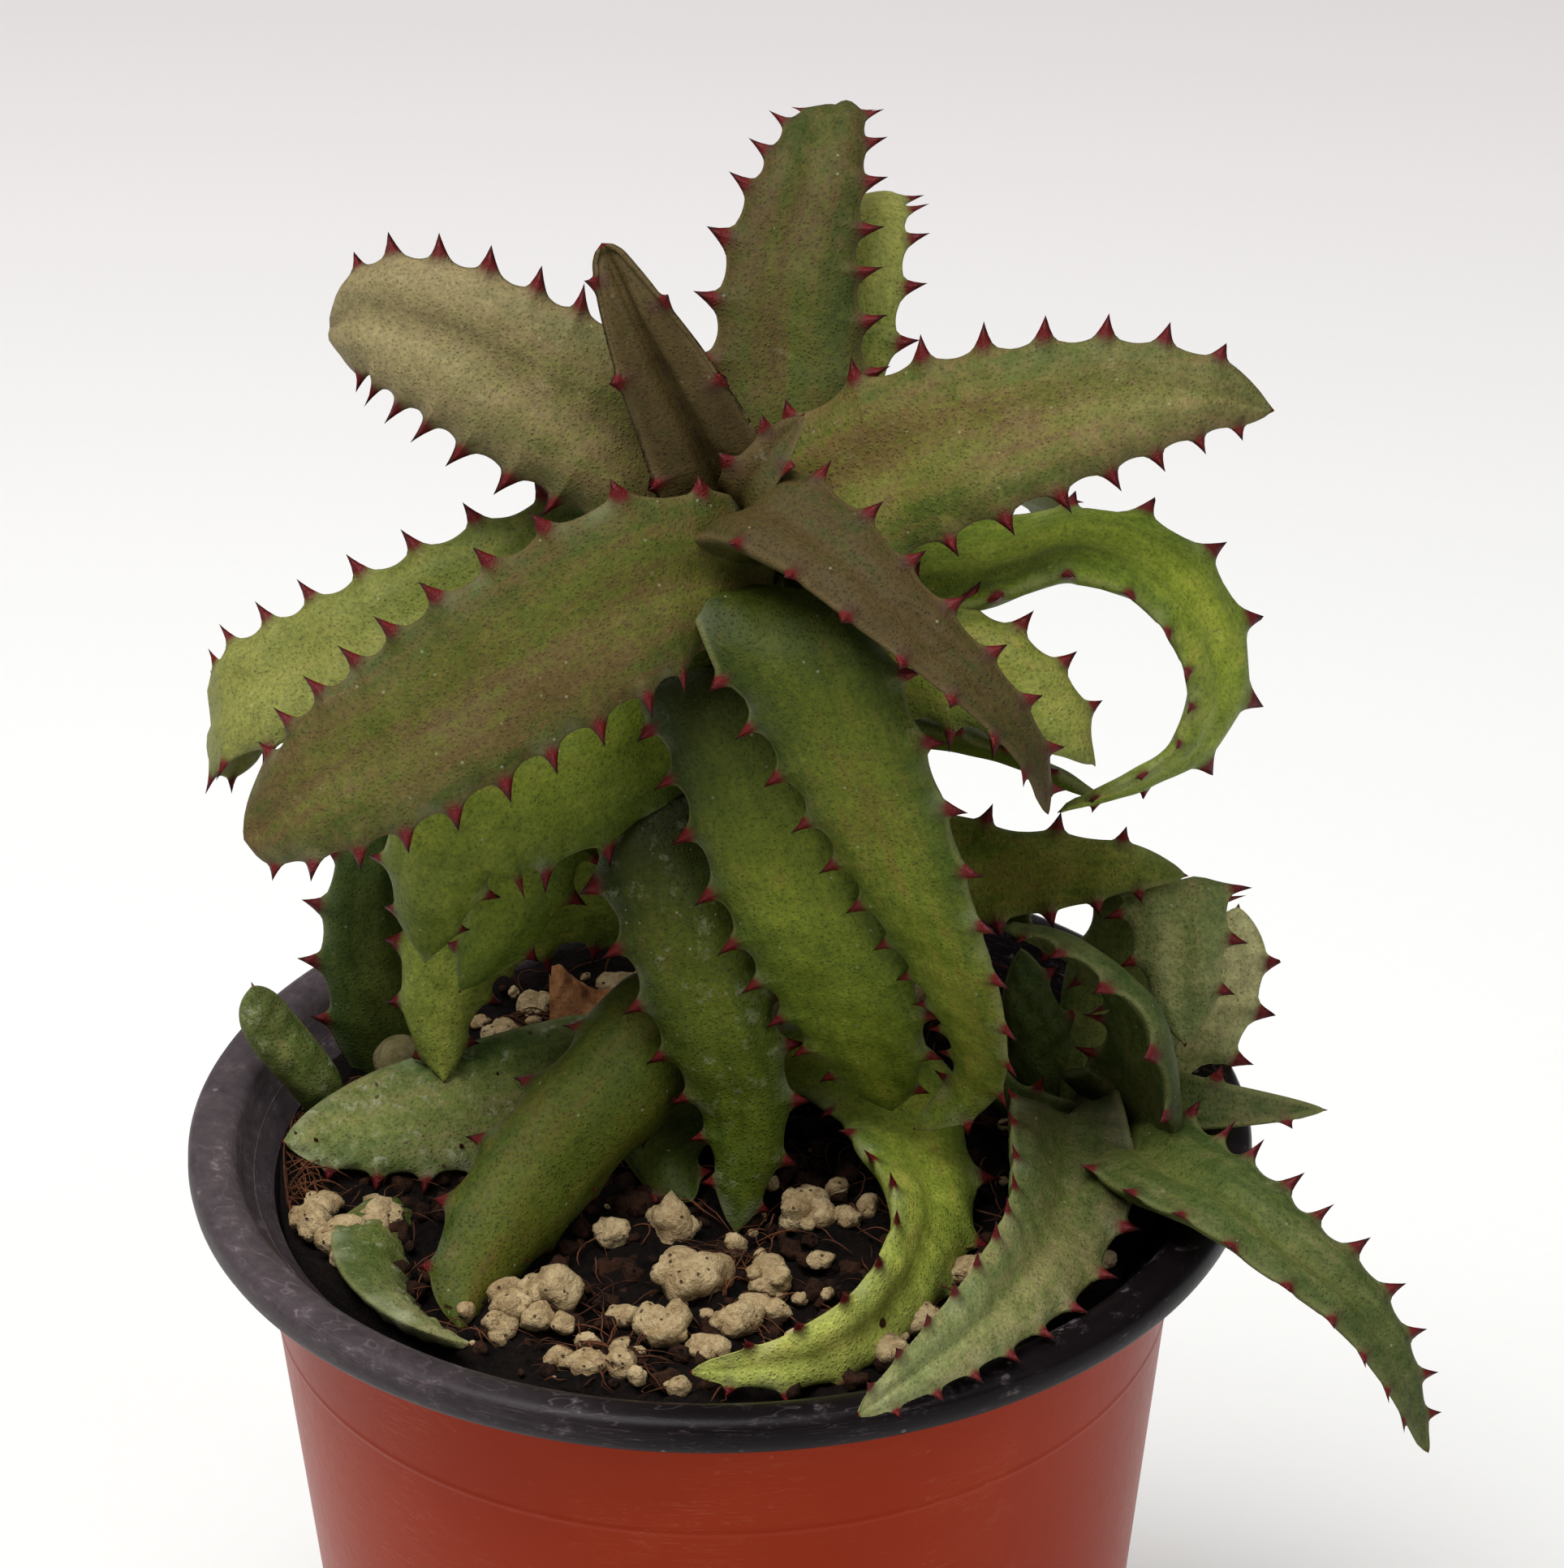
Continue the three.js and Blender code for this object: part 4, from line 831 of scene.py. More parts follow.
BLADES: tuple[BladeShape, ...] = (
    BladeShape(
        "leaf_spear", Tone.UPPER,
        spine=((3, 4.5, 147.5), (1.5, 2.2, 152), (-0.5, 1.5, 158), (-3, 1.5, 164), (-6.5, 3, 171),
               (-9.5, 6.5, 176.5)),
        across=(0.88, 0.1, 0.42), width=10.5, thickness=3, curl=(72, 64), blunt=1.8, base=0.95,
        right_teeth=(9, 8), left_teeth=(12, 9), brown=1, pale=0.05, light=0.56, groove=2.2,
    ),
    BladeShape(
        "leaf_bud", Tone.UPPER,
        spine=((3, 1.5, 151), (3, -1.3, 155.5), (5.3, -0.5, 159.3), (8.2, 3, 161.2)),
        across=(0.5, -0.6, -0.6), width=5.6, thickness=2.4, curl=(60, 40), blunt=1.5, base=0.8,
        right_teeth=(5, 4), left_teeth=(7, 4), brown=0.95, pale=0.1, light=0.65, groove=0.4,
    ),
    BladeShape(
        "leaf_top", Tone.UPPER,
        spine=((4.5, 7, 149), (7, 8.5, 155.5), (7, 13, 163), (7.5, 18, 170), (9.3, 23, 175.6),
               (11.2, 31, 178.6), (12.3, 38, 174.3)),
        across=(1, 0, 0), width=15, curl=(20, 9), blunt=1.85, base=0.85, right_teeth=(7.3, 4.6),
        left_teeth=(9.2, 4.6), brown=0.52, pale=0.25, light=0.68, groove=0.5,
    ),
    BladeShape(
        "leaf_front", Tone.UPPER,
        spine=((2.2, 3, 148.5), (3.4, -2.5, 155.2), (9.3, -9.5, 155.5), (15.4, -15.5, 152.5),
               (21, -19, 148.5), (25.5, -21.3, 144.6), (28.7, -21.8, 139.5), (29.9, -20, 133)),
        across=(-0.74, -0.6, -0.3), across_tip=(-0.75, -0.6, -0.2), width=11.9, thickness=3.8,
        curl=(38, 34), blunt=0.98, base=1, right_teeth=(6.5, 5.6), left_teeth=(6, 5.6), brown=0.85,
        pale=0.1, light=0.58, groove=0.6,
    ),
    BladeShape(
        "leaf_lower_left", Tone.UPPER,
        spine=((5.5, 0.5, 145.5), (2.5, -3, 148.5), (-1.5, -6, 149.8), (-7, -8.6, 149.4),
               (-17, -12, 145), (-27, -15, 139.2), (-36.8, -15.6, 132.9), (-42.6, -13.2, 127.2)),
        across=(0.1, 0.5, 0.86), width=17, thickness=4.4, curl=(14, 10), blunt=5, base=0.6,
        round=0.52, right_teeth=(9, 4.9), left_teeth=(8, 4.9), brown=0.55, pale=0.2, light=0.86,
        groove=0.5, wear=0.3,
    ),
    BladeShape(
        "leaf_right", Tone.UPPER,
        spine=((4.5, 4, 147.5), (9, 3, 152.3), (16, 2, 156.8), (26, 1, 160.9), (37.5, 2, 163.2),
               (45, 3, 163), (50.6, 4.6, 160.6)),
        across=(0.1, -0.55, -0.83), width=16.8, thickness=4.4, curl=(14, 16), blunt=2.5, base=0.8,
        right_teeth=(12, 5.2), left_teeth=(8, 5.2), brown=0.48, pale=0.4, light=1.1, groove=0.7,
    ),
    BladeShape(
        "leaf_left", Tone.UPPER,
        spine=((3.5, 6, 148), (-2, 6, 153.5), (-8, 5.5, 158.5), (-16, 7, 162.3), (-24.5, 10, 165.7),
               (-31, 13.5, 166.2), (-35.2, 18.5, 162.8)),
        across=(0.1, 0.45, 0.88), width=16.5, curl=(12, 6), blunt=4.2, base=0.75, round=0.52,
        right_teeth=(14, 4.4), left_teeth=(13, 4.4), brown=0.42, pale=0.85, light=0.9, groove=1.3,
    ),
    BladeShape(
        "leaf_top_back", Tone.LOWER,
        spine=((4.5, 8, 146), (7, 13, 152.8), (10.2, 18, 158.6), (12.4, 24, 165), (13.7, 30, 168.3),
               (14.9, 37, 166.9), (15, 43, 161.4)),
        across=(1, 0, 0), width=12.5, thickness=3.8, curl=(14, 6), blunt=2.6,
        right_teeth=(9.3, 4.9), left_teeth=(11.4, 5), brown=0.3, pale=0.85, light=1.35,
    ),
    BladeShape(
        "leaf_down", Tone.LOWER,
        spine=((3.5, 1, 144.6), (5, -6, 148.1), (8, -12, 144.8), (12.5, -16, 135),
               (17.5, -17.5, 122.5), (22, -16.5, 110), (23, -12, 99.5), (18, -9, 93)),
        across=(-1, 0, 0), across_tip=(-0.62, 0.75, 0.1), width=15.5, thickness=4.4, curl=(-6, 16),
        blunt=2, base=0.8, right_teeth=(14, 4.9), left_teeth=(14, 5.4), brown=0.2, pale=0.25,
        light=1.42, foot=0.25, groove=0.15, wear=0.35,
    ),
    BladeShape(
        "leaf_ring", Tone.LOWER,
        spine=((4, 5, 140), (9, 7, 143), (16.5, 8, 143.5), (25, 6, 145), (33.5, 5, 147.5),
               (40.5, 4, 145.5), (45.2, 3, 139.8), (46.5, 1.5, 133.2), (43.8, -0.5, 128),
               (38.5, -2.5, 125.6), (31.5, -4.5, 124)),
        across=(0, -0.85, -0.5), across_tip=(-1.3, -1.2, 0.5), width=13, thickness=4, curl=(14, 24),
        blunt=2.6, base=0.75, right_teeth=(24, 6), left_teeth=(30, 6), brown=0.05, light=1.95,
        foot=0.8, groove=0.2, wear=0.3,
    ),
    BladeShape(
        "leaf_down_inner", Tone.LOWER,
        spine=((2, 3, 132), (0, -3, 138.6), (2.4, -7.6, 134.6), (6, -11, 124), (10, -12.5, 113.5),
               (14, -11, 102.5), (16, -8.5, 94.6)),
        across=(-1, 0.1, 0), width=15.5, thickness=4.6, curl=(-8, 8), blunt=6,
        right_teeth=(12, 5.2), left_teeth=(10, 5.2), brown=0, pale=0.15, cork=0.9, light=1.3,
        foot=0.06, groove=0.15, wear=0.25,
    ),
    BladeShape(
        "leaf_left_back", Tone.LOWER,
        spine=((3, 8, 139), (-2, 9, 143.3), (-9, 8, 144.4), (-17.5, 5.5, 143.6), (-28, 4, 139.8),
               (-38, 4, 135), (-45.3, 6, 130.3), (-46.5, 11, 124.5), (-42.5, 16, 121.5)),
        across=(0, 0.55, 0.83), across_tip=(0, 0.8, 0.6), width=12.5, thickness=3.8, curl=(8, 20),
        blunt=6, round=0.52, right_teeth=(12, 5.4), left_teeth=(15, 5.4), brown=0.25, pale=0.9,
        light=0.85, groove=0.5,
    ),
    BladeShape(
        "leaf_right_low", Tone.LOWER,
        spine=((4, 4, 131.5), (9, 3, 137), (15.5, -1, 139.5), (23, -5, 139.5), (29, -7.5, 137.6),
               (33, -8.5, 134.6), (34.5, -8, 131.2)),
        across=(-0.15, -0.55, -0.8), thickness=4, curl=(-8, -12), blunt=3, right_teeth=(12, 5.4),
        left_teeth=(16, 5), brown=0.25, pale=0.5, light=1.1,
    ),
    BladeShape(
        "leaf_right_under", Tone.LOWER,
        spine=((3.5, 6, 123.5), (9, 7, 128), (17, 6.5, 128.6), (24, 5, 127.6), (30, 3, 125.6),
               (35.5, 1, 122.8)),
        across=(-0.1, -0.85, 0.5), width=12, thickness=3.8, blunt=2.2, right_teeth=(16, 5),
        left_teeth=(18, 5), brown=0.15, pale=0.1, light=0.9,
    ),
    BladeShape(
        "leaf_down_long", Tone.LOWER,
        spine=((2, 6, 117), (-3, 2, 123), (-4.5, -3, 120), (-3, -7, 115), (-0.5, -10, 106),
               (2.5, -10.5, 94), (1.5, -12, 83.5)),
        across=(-1, 0, 0), curl=(-10, -16), blunt=3.6, base=0.65, right_teeth=(10, 5.6),
        left_teeth=(13, 5.6), brown=0, pale=0.05, cork=0.9, light=0.9, foot=0.03, wear=0.5,
        scab=0.4,
    ),
    BladeShape(
        "leaf_curl_front", Tone.LOWER,
        spine=((2.5, 7, 127), (-1, 5, 130), (-7, 1, 129), (-14, -3, 127.5), (-20.5, -6.5, 126.6),
               (-24.6, -9.2, 123.5), (-26, -9, 117.5), (-26.8, -7.5, 110.5)),
        across=(0, 0.3, 0.95), across_tip=(-1.6, 0.1, 0.1), width=16.5, curl=(-8, -44), blunt=5,
        base=0.65, right_teeth=(20, 6), left_teeth=(12, 5.4), brown=0, light=1.16, foot=0.8,
        wear=0.5,
    ),
    BladeShape(
        "leaf_curl_behind", Tone.LOWER,
        spine=((2, 8, 120), (-3, 8.5, 121.5), (-8, 7.5, 122.5), (-13.5, 5.5, 122), (-17, 2.5, 118),
               (-19.5, 0.5, 111), (-24, -1, 103.5)),
        across=(0, 0.4, 0.9), across_tip=(-1.6, 0.2, 0.3), thickness=4, curl=(-8, -40), blunt=4,
        base=0.65, right_teeth=(12, 6), left_teeth=(15, 6), brown=0, pale=0.15, light=1.15,
        foot=0.7,
    ),
    BladeShape(
        "leaf_curl_low", Tone.LOWER,
        spine=((1.5, 9, 108), (-4, 9.5, 110), (-11.5, 9.5, 109.5), (-18.5, 8.8, 107.5),
               (-24.5, 7.2, 103), (-26.5, 5.6, 96.5), (-26, 4, 90.5)),
        across=(0, 0.3, 0.95), across_tip=(-1.6, 0.2, 0.3), width=15, curl=(-10, -46), blunt=4.6,
        right_teeth=(9, 5), left_teeth=(15, 6), brown=0, pale=0.45, light=1.7, foot=0.5,
    ),
    BladeShape(
        "leaf_low_tube", Tone.LOWER,
        spine=((1.5, 6, 97.5), (-1, -0.4, 101.5), (-6.2, -7.2, 99.5), (-13.2, -13.4, 94.5),
               (-19, -19.4, 89.5), (-22.4, -24.3, 85.6), (-23.6, -27.2, 83.2)),
        across=(-0.55, 0.25, 0.8), width=18, thickness=4.6, curl=(-70, -60), blunt=6.5, base=0.9,
        right_teeth=(18, 6.5), left_teeth=(21, 7), brown=0.35, pale=0.1, cork=0.2, light=0.68,
        foot=0.8, wear=0.4, prickles=((0.35, -0.55, 0.35), (0.6, -0.6, 0.35), (0.8, -0.5, 0.35)),
    ),
    BladeShape(
        "leaf_right_far", Tone.LOWER,
        spine=((3.5, 8, 111), (9, 10, 112.3), (16, 10, 110.8), (24, 9, 110), (32, 7, 111.3),
               (39, 5, 112.6), (43.5, 4.5, 112.1)),
        across=(0, -0.6, -0.8), width=11, thickness=4, curl=(-10, 24), blunt=2.2,
        right_teeth=(18, 5), left_teeth=(22, 7), brown=0.3, light=1.1,
    ),
    BladeShape(
        "leaf_hook", Tone.LOWER,
        spine=((3.5, 5, 92), (10, 4, 94), (16, -1, 92.5), (18.5, -8, 90), (19.5, -17, 89),
               (18, -26, 88.5), (13.5, -34, 87.5), (6.5, -38.5, 86.8), (-2.5, -39.5, 86.5)),
        across=(-0.5, -0.6, -0.3), across_tip=(0, 0.3, 0.95), width=13.5, thickness=3.8,
        curl=(10, 30), blunt=2, right_teeth=(14, 6), left_teeth=(17, 6), brown=0.15, pale=0.6,
        cork=1, light=2.5, foot=0.6, groove=0.2, wear=0.5,
    ),
    BladeShape(
        "leaf_dark_low", Tone.LOWER,
        spine=((-3.5, 4, 90.5), (-5.3, -1, 90.2), (-5, -5.5, 88), (-2.6, -9.5, 85.6)),
        across=(-1, 0, 0), width=11.5, thickness=3.6, curl=(-10, -10), blunt=2, right_teeth=(8, 5),
        left_teeth=(8, 5), brown=0, pale=0, light=0.5,
    ),
    BladeShape(
        "leaf_back_right", Tone.LOWER,
        spine=((4, 8, 142), (10, 14, 145), (18, 22, 146), (26, 29, 143), (32, 34, 136),
               (34, 36, 128)),
        across=(0.75, -0.66, 0), brown=0.15, pale=0.4,
    ),
    BladeShape(
        "leaf_back_left", Tone.LOWER,
        spine=((2, 9, 135), (-4, 16, 138), (-12, 24, 138.5), (-20, 31, 135), (-26, 36, 128),
               (-28, 38, 120)),
        across=(0.7, 0.7, 0), pale=0.4,
    ),
    BladeShape(
        "leaf_back_middle", Tone.LOWER,
        spine=((3, 9, 128), (4, 16, 131), (5, 26, 131), (6, 35, 126), (6.5, 41, 118), (6, 43, 110)),
        across=(1, 0, 0), pale=0.4,
    ),
    BladeShape(
        "leaf_back_low", Tone.LOWER,
        spine=((1, 11, 112), (-6, 18, 114), (-14, 26, 113), (-20, 32, 107), (-23, 35, 99),
               (-22, 34, 92)),
        across=(0.7, 0.65, 0), width=13.5, curl=(8, 10), blunt=2.2, pale=0.2,
    ),
    BladeShape(
        "leaf_back_foot", Tone.LOWER,
        spine=((3, 11, 103), (10, 17, 106), (18, 24, 105), (25, 30, 100), (29, 33, 93),
               (29, 33, 88)),
        across=(0.7, -0.7, 0), width=13.5, curl=(8, 10), blunt=2.2, pale=0.2,
    ),
    BladeShape(
        "leaf_r_groove", Tone.OFFSET,
        spine=((36, 2, 87), (39, -3.5, 91), (39.5, -6, 97.5), (38.5, -6.5, 104),
               (34.5, -4.5, 107.5), (30.5, -2, 109), (26.5, 0, 109)),
        across=(0.6, -0.7, 0), across_tip=(0, -0.7, 0.6), width=12.6, thickness=3.4, curl=(40, 60),
        blunt=1.8, base=0.8, right_teeth=(8, 5), left_teeth=(12, 5), brown=0.3, foot=0.6,
        groove=0.3,
    ),
    BladeShape(
        "leaf_r_broad", Tone.OFFSET,
        spine=((36.5, 5, 85), (37.5, 9.5, 90.5), (39.5, 12, 98), (41.5, 11, 106), (42.5, 6, 110.5),
               (43, 1, 106), (43.5, -1, 97)),
        across=(-1, 0.1, 0), width=11.5, thickness=3.6, curl=(10, 6), blunt=5,
        right_teeth=(16, 5.5), left_teeth=(14, 5.5), brown=0.45, pale=0.4, light=1.55, groove=0.3,
    ),
    BladeShape(
        "leaf_r_fold", Tone.OFFSET,
        spine=((35, 2, 85), (32.5, -4, 91.5), (32, -13, 91.5), (30, -25, 91), (25, -37.5, 92.4),
               (19, -46.5, 92.4), (12.5, -53, 91)),
        across=(-0.75, -0.6, 0.1), across_tip=(-0.2, 0.5, 0.8), width=13, thickness=3.4,
        curl=(46, 40), blunt=1.8, base=0.45, right_teeth=(12, 5), left_teeth=(24, 5.5), brown=0.4,
        pale=0.45, light=1.75, foot=0.14, groove=0.7, wear=0.3,
    ),
    BladeShape(
        "leaf_r_long", Tone.OFFSET,
        spine=((36, 1, 85.5), (38.5, -8, 90.5), (42, -16, 92.5), (47, -22.5, 93.2),
               (51, -26.5, 91.8), (57.5, -30, 87.8), (62, -31.5, 81), (65, -31, 71.5)),
        across=(-0.4, -0.9, 0.1), across_tip=(-0.6, -0.7, -0.2), width=12.5, thickness=3.6,
        curl=(44, 30), blunt=1.6, base=0.5, right_teeth=(15, 5), left_teeth=(12, 5), brown=0.15,
        light=0.9, groove=0.8,
    ),
    BladeShape(
        "leaf_r_spike", Tone.OFFSET,
        spine=((37, 3, 86.5), (41, 0, 90), (47.5, -3, 91.5), (56.5, -3, 91)),
        across=(0, -0.8, -0.6), width=6, thickness=3, curl=(50, 30), blunt=1.2, base=0.8,
        right_teeth=(9, 9), left_teeth=(12, 9), brown=0.5, pale=0.2, light=0.8, groove=0.3,
    ),
    BladeShape(
        "leaf_r_far", Tone.OFFSET,
        spine=((37, 7, 84.5), (41.5, 9, 86.7), (45.4, 11, 91), (48.2, 13, 96.3), (49.2, 15, 102.3)),
        across=(0.85, -0.2, -0.5), width=8.5, thickness=3.2, curl=(12, 6), blunt=5, base=0.8,
        right_teeth=(6.3, 4.1), left_teeth=(20, 5), brown=0.4, pale=0.8, light=1.9, bumps=2.5,
    ),
    BladeShape(
        "leaf_r_bumpy", Tone.OFFSET,
        spine=((34, 6, 85.5), (31, 7, 90), (29.5, 8, 95.5), (28.5, 10, 101)),
        across=(1, 0, 0), width=8.5, thickness=3.4, curl=(-20, -20), base=0.8, right_teeth=(9, 5),
        left_teeth=(6, 5), pale=0.1, light=0.8, bumps=3,
    ),
    BladeShape(
        "leaf_r_inner", Tone.OFFSET,
        spine=((34, 3, 84), (29.5, 0, 88), (26.5, -0.5, 91), (25, 1, 95)),
        across=(0.6, -0.3, 0.7), width=7, thickness=3, curl=(-20, -20), blunt=2.2, base=0.8,
        right_teeth=(9, 5), left_teeth=(6, 5), brown=0.2, pale=0.1, light=0.7,
    ),
    BladeShape(
        "leaf_r_back", Tone.OFFSET,
        spine=((35.5, 7, 84.5), (36, 14, 89), (37.5, 21, 91.5), (39.5, 28, 91)),
        across=(0.95, -0.2, 0), width=9, thickness=3.4, curl=(14, 10), blunt=2, base=0.8,
        right_teeth=(7, 5), left_teeth=(9, 5), brown=0.2,
    ),
    BladeShape(
        "leaf_l_upright", Tone.OFFSET,
        spine=((-29.5, 15.5, 84), (-31.5, 15, 90.5), (-33, 15, 98), (-33, 16, 105.5),
               (-31.2, 18, 113)),
        across=(0.9, 0.3, 0), width=12, curl=(-30, -20), blunt=2.6, base=0.9, right_teeth=(30, 5),
        left_teeth=(8, 5), brown=0, pale=0, light=1.05, wear=0.3,
    ),
    BladeShape(
        "leaf_l_flat", Tone.OFFSET,
        spine=((0, 9.5, 87.9), (-6.5, 8.4, 89.4), (-14, 5.6, 89.6), (-21.5, 2.8, 89.3),
               (-31, 0.8, 88.6), (-41, -0.6, 87)),
        across=(0, 0.86, 0.5), width=14.5, thickness=3.4, curl=(-12, -14), blunt=5, base=0.45,
        right_teeth=(60, 5), left_teeth=(20, 5), brown=0.25, cork=0.4, light=1.45, wear=0.6, scab=1,
        bumps=4,
        prickles=((0.93, -0.2, 0.45), (0.97, 0.3, 0.4), (0.62, -0.6, 0.5), (0.5, 0.35, 0.45)),
    ),
    BladeShape(
        "leaf_l_finger", Tone.OFFSET,
        spine=((-36, 7.2, 84), (-37.7, 6.6, 88.2), (-40, 6.2, 92), (-42.4, 6.6, 95.6),
               (-43.8, 7.6, 99)),
        across=(0.8, 0.4, 0.4), width=6, thickness=4.4, curl=(-30, -20), blunt=9, base=0.9,
        right_teeth=(17, 5), left_teeth=(18, 5), pale=0.25, cork=0.2, light=1.2, scab=0.8, bumps=2,
    ),
    BladeShape(
        "leaf_l_rim", Tone.OFFSET,
        spine=((-29.5, -8, 84.6), (-31.2, -14.5, 85.3), (-30.6, -21.5, 85.8), (-27.5, -28.5, 86.1),
               (-22.6, -34, 86.3)),
        across=(-0.9, -0.1, 0.4), across_tip=(-0.5, -0.5, 0.7), width=9, thickness=3.2,
        curl=(-20, -20), blunt=4, base=0.8, right_teeth=(40, 6), left_teeth=(10, 6), brown=0.15,
        pale=0.5, cork=0.1, wear=0.8, scab=0.6, bumps=3,
    ),
)


@dataclass
class Blade:
    """Builds one leaf: rows along its middle line, columns round its section, and its teeth.

    margin_parts says which columns take part in the margin's shape: those further out than the
    first number, by these shares in its teeth, in its arcs between teeth and in their droop.
    """

    shape: BladeShape
    seed: int
    upper: tuple[float, ...] = (
        1, 0.965, 0.9, 0.78, 0.6, 0.4, 0.2, 0, -0.2, -0.4, -0.6, -0.78, -0.9, -0.965, -1,
    )
    lower: tuple[float, ...] = (-0.965, -0.88, -0.7, -0.45, -0.15, 0.15, 0.45, 0.7, 0.88, 0.965)
    margin_parts: tuple[tuple[float, ...], ...] = (
        (0.5, 0, 0, 0.06), (0.7, 0, 0.2, 0.3), (0.87, 0.1, 0.5, 0.5), (0.95, 0.4, 0.85, 0.85),
        (0.99, 1, 1, 1),
    )
    rows: int = 38
    row_power: float = 1.25
    last_row: float = 0.997
    least_row_gap: float = 0.1
    swell_reach: float = 0.3
    least_curl: float = 1e-3
    least_half: float = 0.2
    tooth_height: float = 1.8
    tooth_half: float = 1.25
    tooth_power: float = 1.9
    tooth_lean: float = 24.0
    tooth_steps: tuple[float, ...] = (-1.6, -1.0, -0.66, -0.36, -0.14, 0.0, 0.14, 0.36, 0.66, 1.0, 1.6)
    least_size: float = 0.7
    end_clear: float = 2.3
    spread: Pair = (1.32, 0.75)
    edge_share: float = 0.32
    thinning: float = 0.38
    belly_power: float = 2.2
    face_power: float = 2.7
    groove_reach: float = 0.15
    groove_level: float = 0.35
    narrow: float = 4.0
    slim_power: float = 0.7
    slim_spare: float = 0.4
    horn_from: float = 0.3
    scallop: float = 1.15
    scallop_share: float = 0.17
    outset: float = 0.45
    gap_power: float = 0.8
    droop: float = 0.5
    ripple: float = 0.17
    full_ripple: float = 3.0
    halo: float = 1.15
    foot_cap: float = 0.2
    tip_reach: float = 0.5
    foot_shade_reach: float = 0.85
    pattern_step: float = 31.7
    prickle_sides: int = 6
    prickle_spread: float = 0.5
    prickle_height: float = 1.25
    prickle_lean: float = 0.4
    prickle_sink: float = 0.25

    def __post_init__(self) -> None:
        """Sets out the columns, the teeth and the rows, and measures each row."""
        self.line = SmoothLine(self.shape.spine)
        self.share = np.array(self.upper + self.lower)
        self.is_lower = np.arange(len(self.share)) >= len(self.upper)
        self.teeth = {side: self._teeth(side) for side in (1, -1)}
        self.t = self._stations()
        self.reach = self.t * self.line.length
        self.half, self.thick, self.curl = (values[:, None] for values in self._section(self.t))
        self.broad = np.minimum(1, self.half / self.narrow)
        self.frames = [values[:, None, :] for values in self._frames(self.t)]

    def _teeth(self, side: int) -> list[Pair]:
        """Sets out the teeth of one margin.

        Args:
            side: 1 for the right margin and -1 for the left.

        Returns:
            Each tooth's distance from the leaf's foot, and its share of the full size.
        """
        first, pitch = self.shape.right_teeth if side > 0 else self.shape.left_teeth
        foot_share, tip_share = self.spread
        found = []
        reach = first
        while reach < self.line.length - self.end_clear:
            swell = math.sin(math.pi * reach / self.line.length)
            found.append((reach, self.least_size + (1 - self.least_size) * swell))
            reach += pitch * (foot_share + (tip_share - foot_share) * reach / self.line.length)
        return found

    def _stations(self) -> np.ndarray:
        """Sets out the rows: even ones, and more at every tooth.

        Returns:
            The shares of the length where they stand.
        """
        wanted = [1 - (1 - row / self.rows) ** self.row_power for row in range(self.rows)]
        for side in (1, -1):
            for reach, size in self.teeth[side]:
                half = self.tooth_half * size
                wanted += [(reach + step * half) / self.line.length for step in self.tooth_steps]
        kept = [0.0]
        for share in sorted(wanted):
            if self.least_row_gap / self.line.length < share - kept[-1] and share < self.last_row:
                kept.append(share)
        kept.append(self.last_row)
        return np.array(kept)

    def _tooth_profile(self, side: int) -> tuple[np.ndarray, np.ndarray, np.ndarray]:
        """How far the teeth of one margin stand out along it.

        Args:
            side: 1 for the right margin and -1 for the left.

        Returns:
            Each row's height of tooth, its share of its tooth's height, and how far it lies
            towards the middle of the gap between two teeth, from 0 to 1.
        """
        reach = self.reach
        height = np.zeros_like(reach)
        share = np.zeros_like(reach)
        centres = [tooth[0] for tooth in self.teeth[side]]
        for centre, size in self.teeth[side]:
            near = np.clip(1 - np.abs(reach - centre) / (self.tooth_half * size), 0, 1)
            share = np.maximum(share, near)
            height = np.maximum(height, self.tooth_height * size * near ** self.tooth_power)
        gap = np.zeros_like(reach)
        for start, end in zip(centres, centres[1:]):
            between = np.clip((reach - start) / (end - start), 0, 1)
            gap = np.maximum(gap, np.sin(np.pi * between) ** self.gap_power)
        return height[:, None], share[:, None], gap[:, None]

    def _section(self, t: np.ndarray) -> tuple[np.ndarray, np.ndarray, np.ndarray]:
        """Measures the section of each row.

        Args:
            t: the rows' shares of the length.

        Returns:
            Each row's half width, thickness, and curl in radians.
        """
        shape = self.shape
        taper = np.clip(1 - t ** shape.blunt, 0, 1) ** shape.round
        half = shape.width / 2 * (shape.base + (1 - shape.base) * ease(t / self.swell_reach)) * taper
        full = shape.thickness * (1 - self.thinning * t) * np.sqrt(taper)
        thick = np.maximum(full, np.minimum(1.0, 1.6 * half))
        curl = np.radians(shape.curl[0] + (shape.curl[1] - shape.curl[0]) * t)
        return half, thick, np.where(np.abs(curl) < self.least_curl, self.least_curl, curl)

    def _frames(self, t: np.ndarray) -> tuple[np.ndarray, np.ndarray, np.ndarray, np.ndarray]:
        """Sets a frame at each row.

        Args:
            t: the rows' shares of the length.

        Returns:
            Each row's middle point, and its directions along, to the right and up.
        """
        points, along = self.line.at(t)
        base = np.array(self.shape.across, float)
        tip = np.array(self.shape.across_tip or self.shape.across, float)
        right = base + (tip - base) * t[:, None]
        right = unit(right - along * np.sum(right * along, axis=1, keepdims=True))
        return points, along, right, np.cross(right, along)

    def _weights(self, side: int) -> np.ndarray:
        """How much the columns take part in the shape of one margin.

        Args:
            side: 1 for the right margin and -1 for the left.

        Returns:
            Three rows: the columns' shares in its teeth, in its arcs and in their droop.
        """
        weights = np.zeros((3, len(self.share)))
        for inside, *parts in self.margin_parts:
            weights[:, self.share * side > inside] = np.array(parts)[:, None]
        return weights

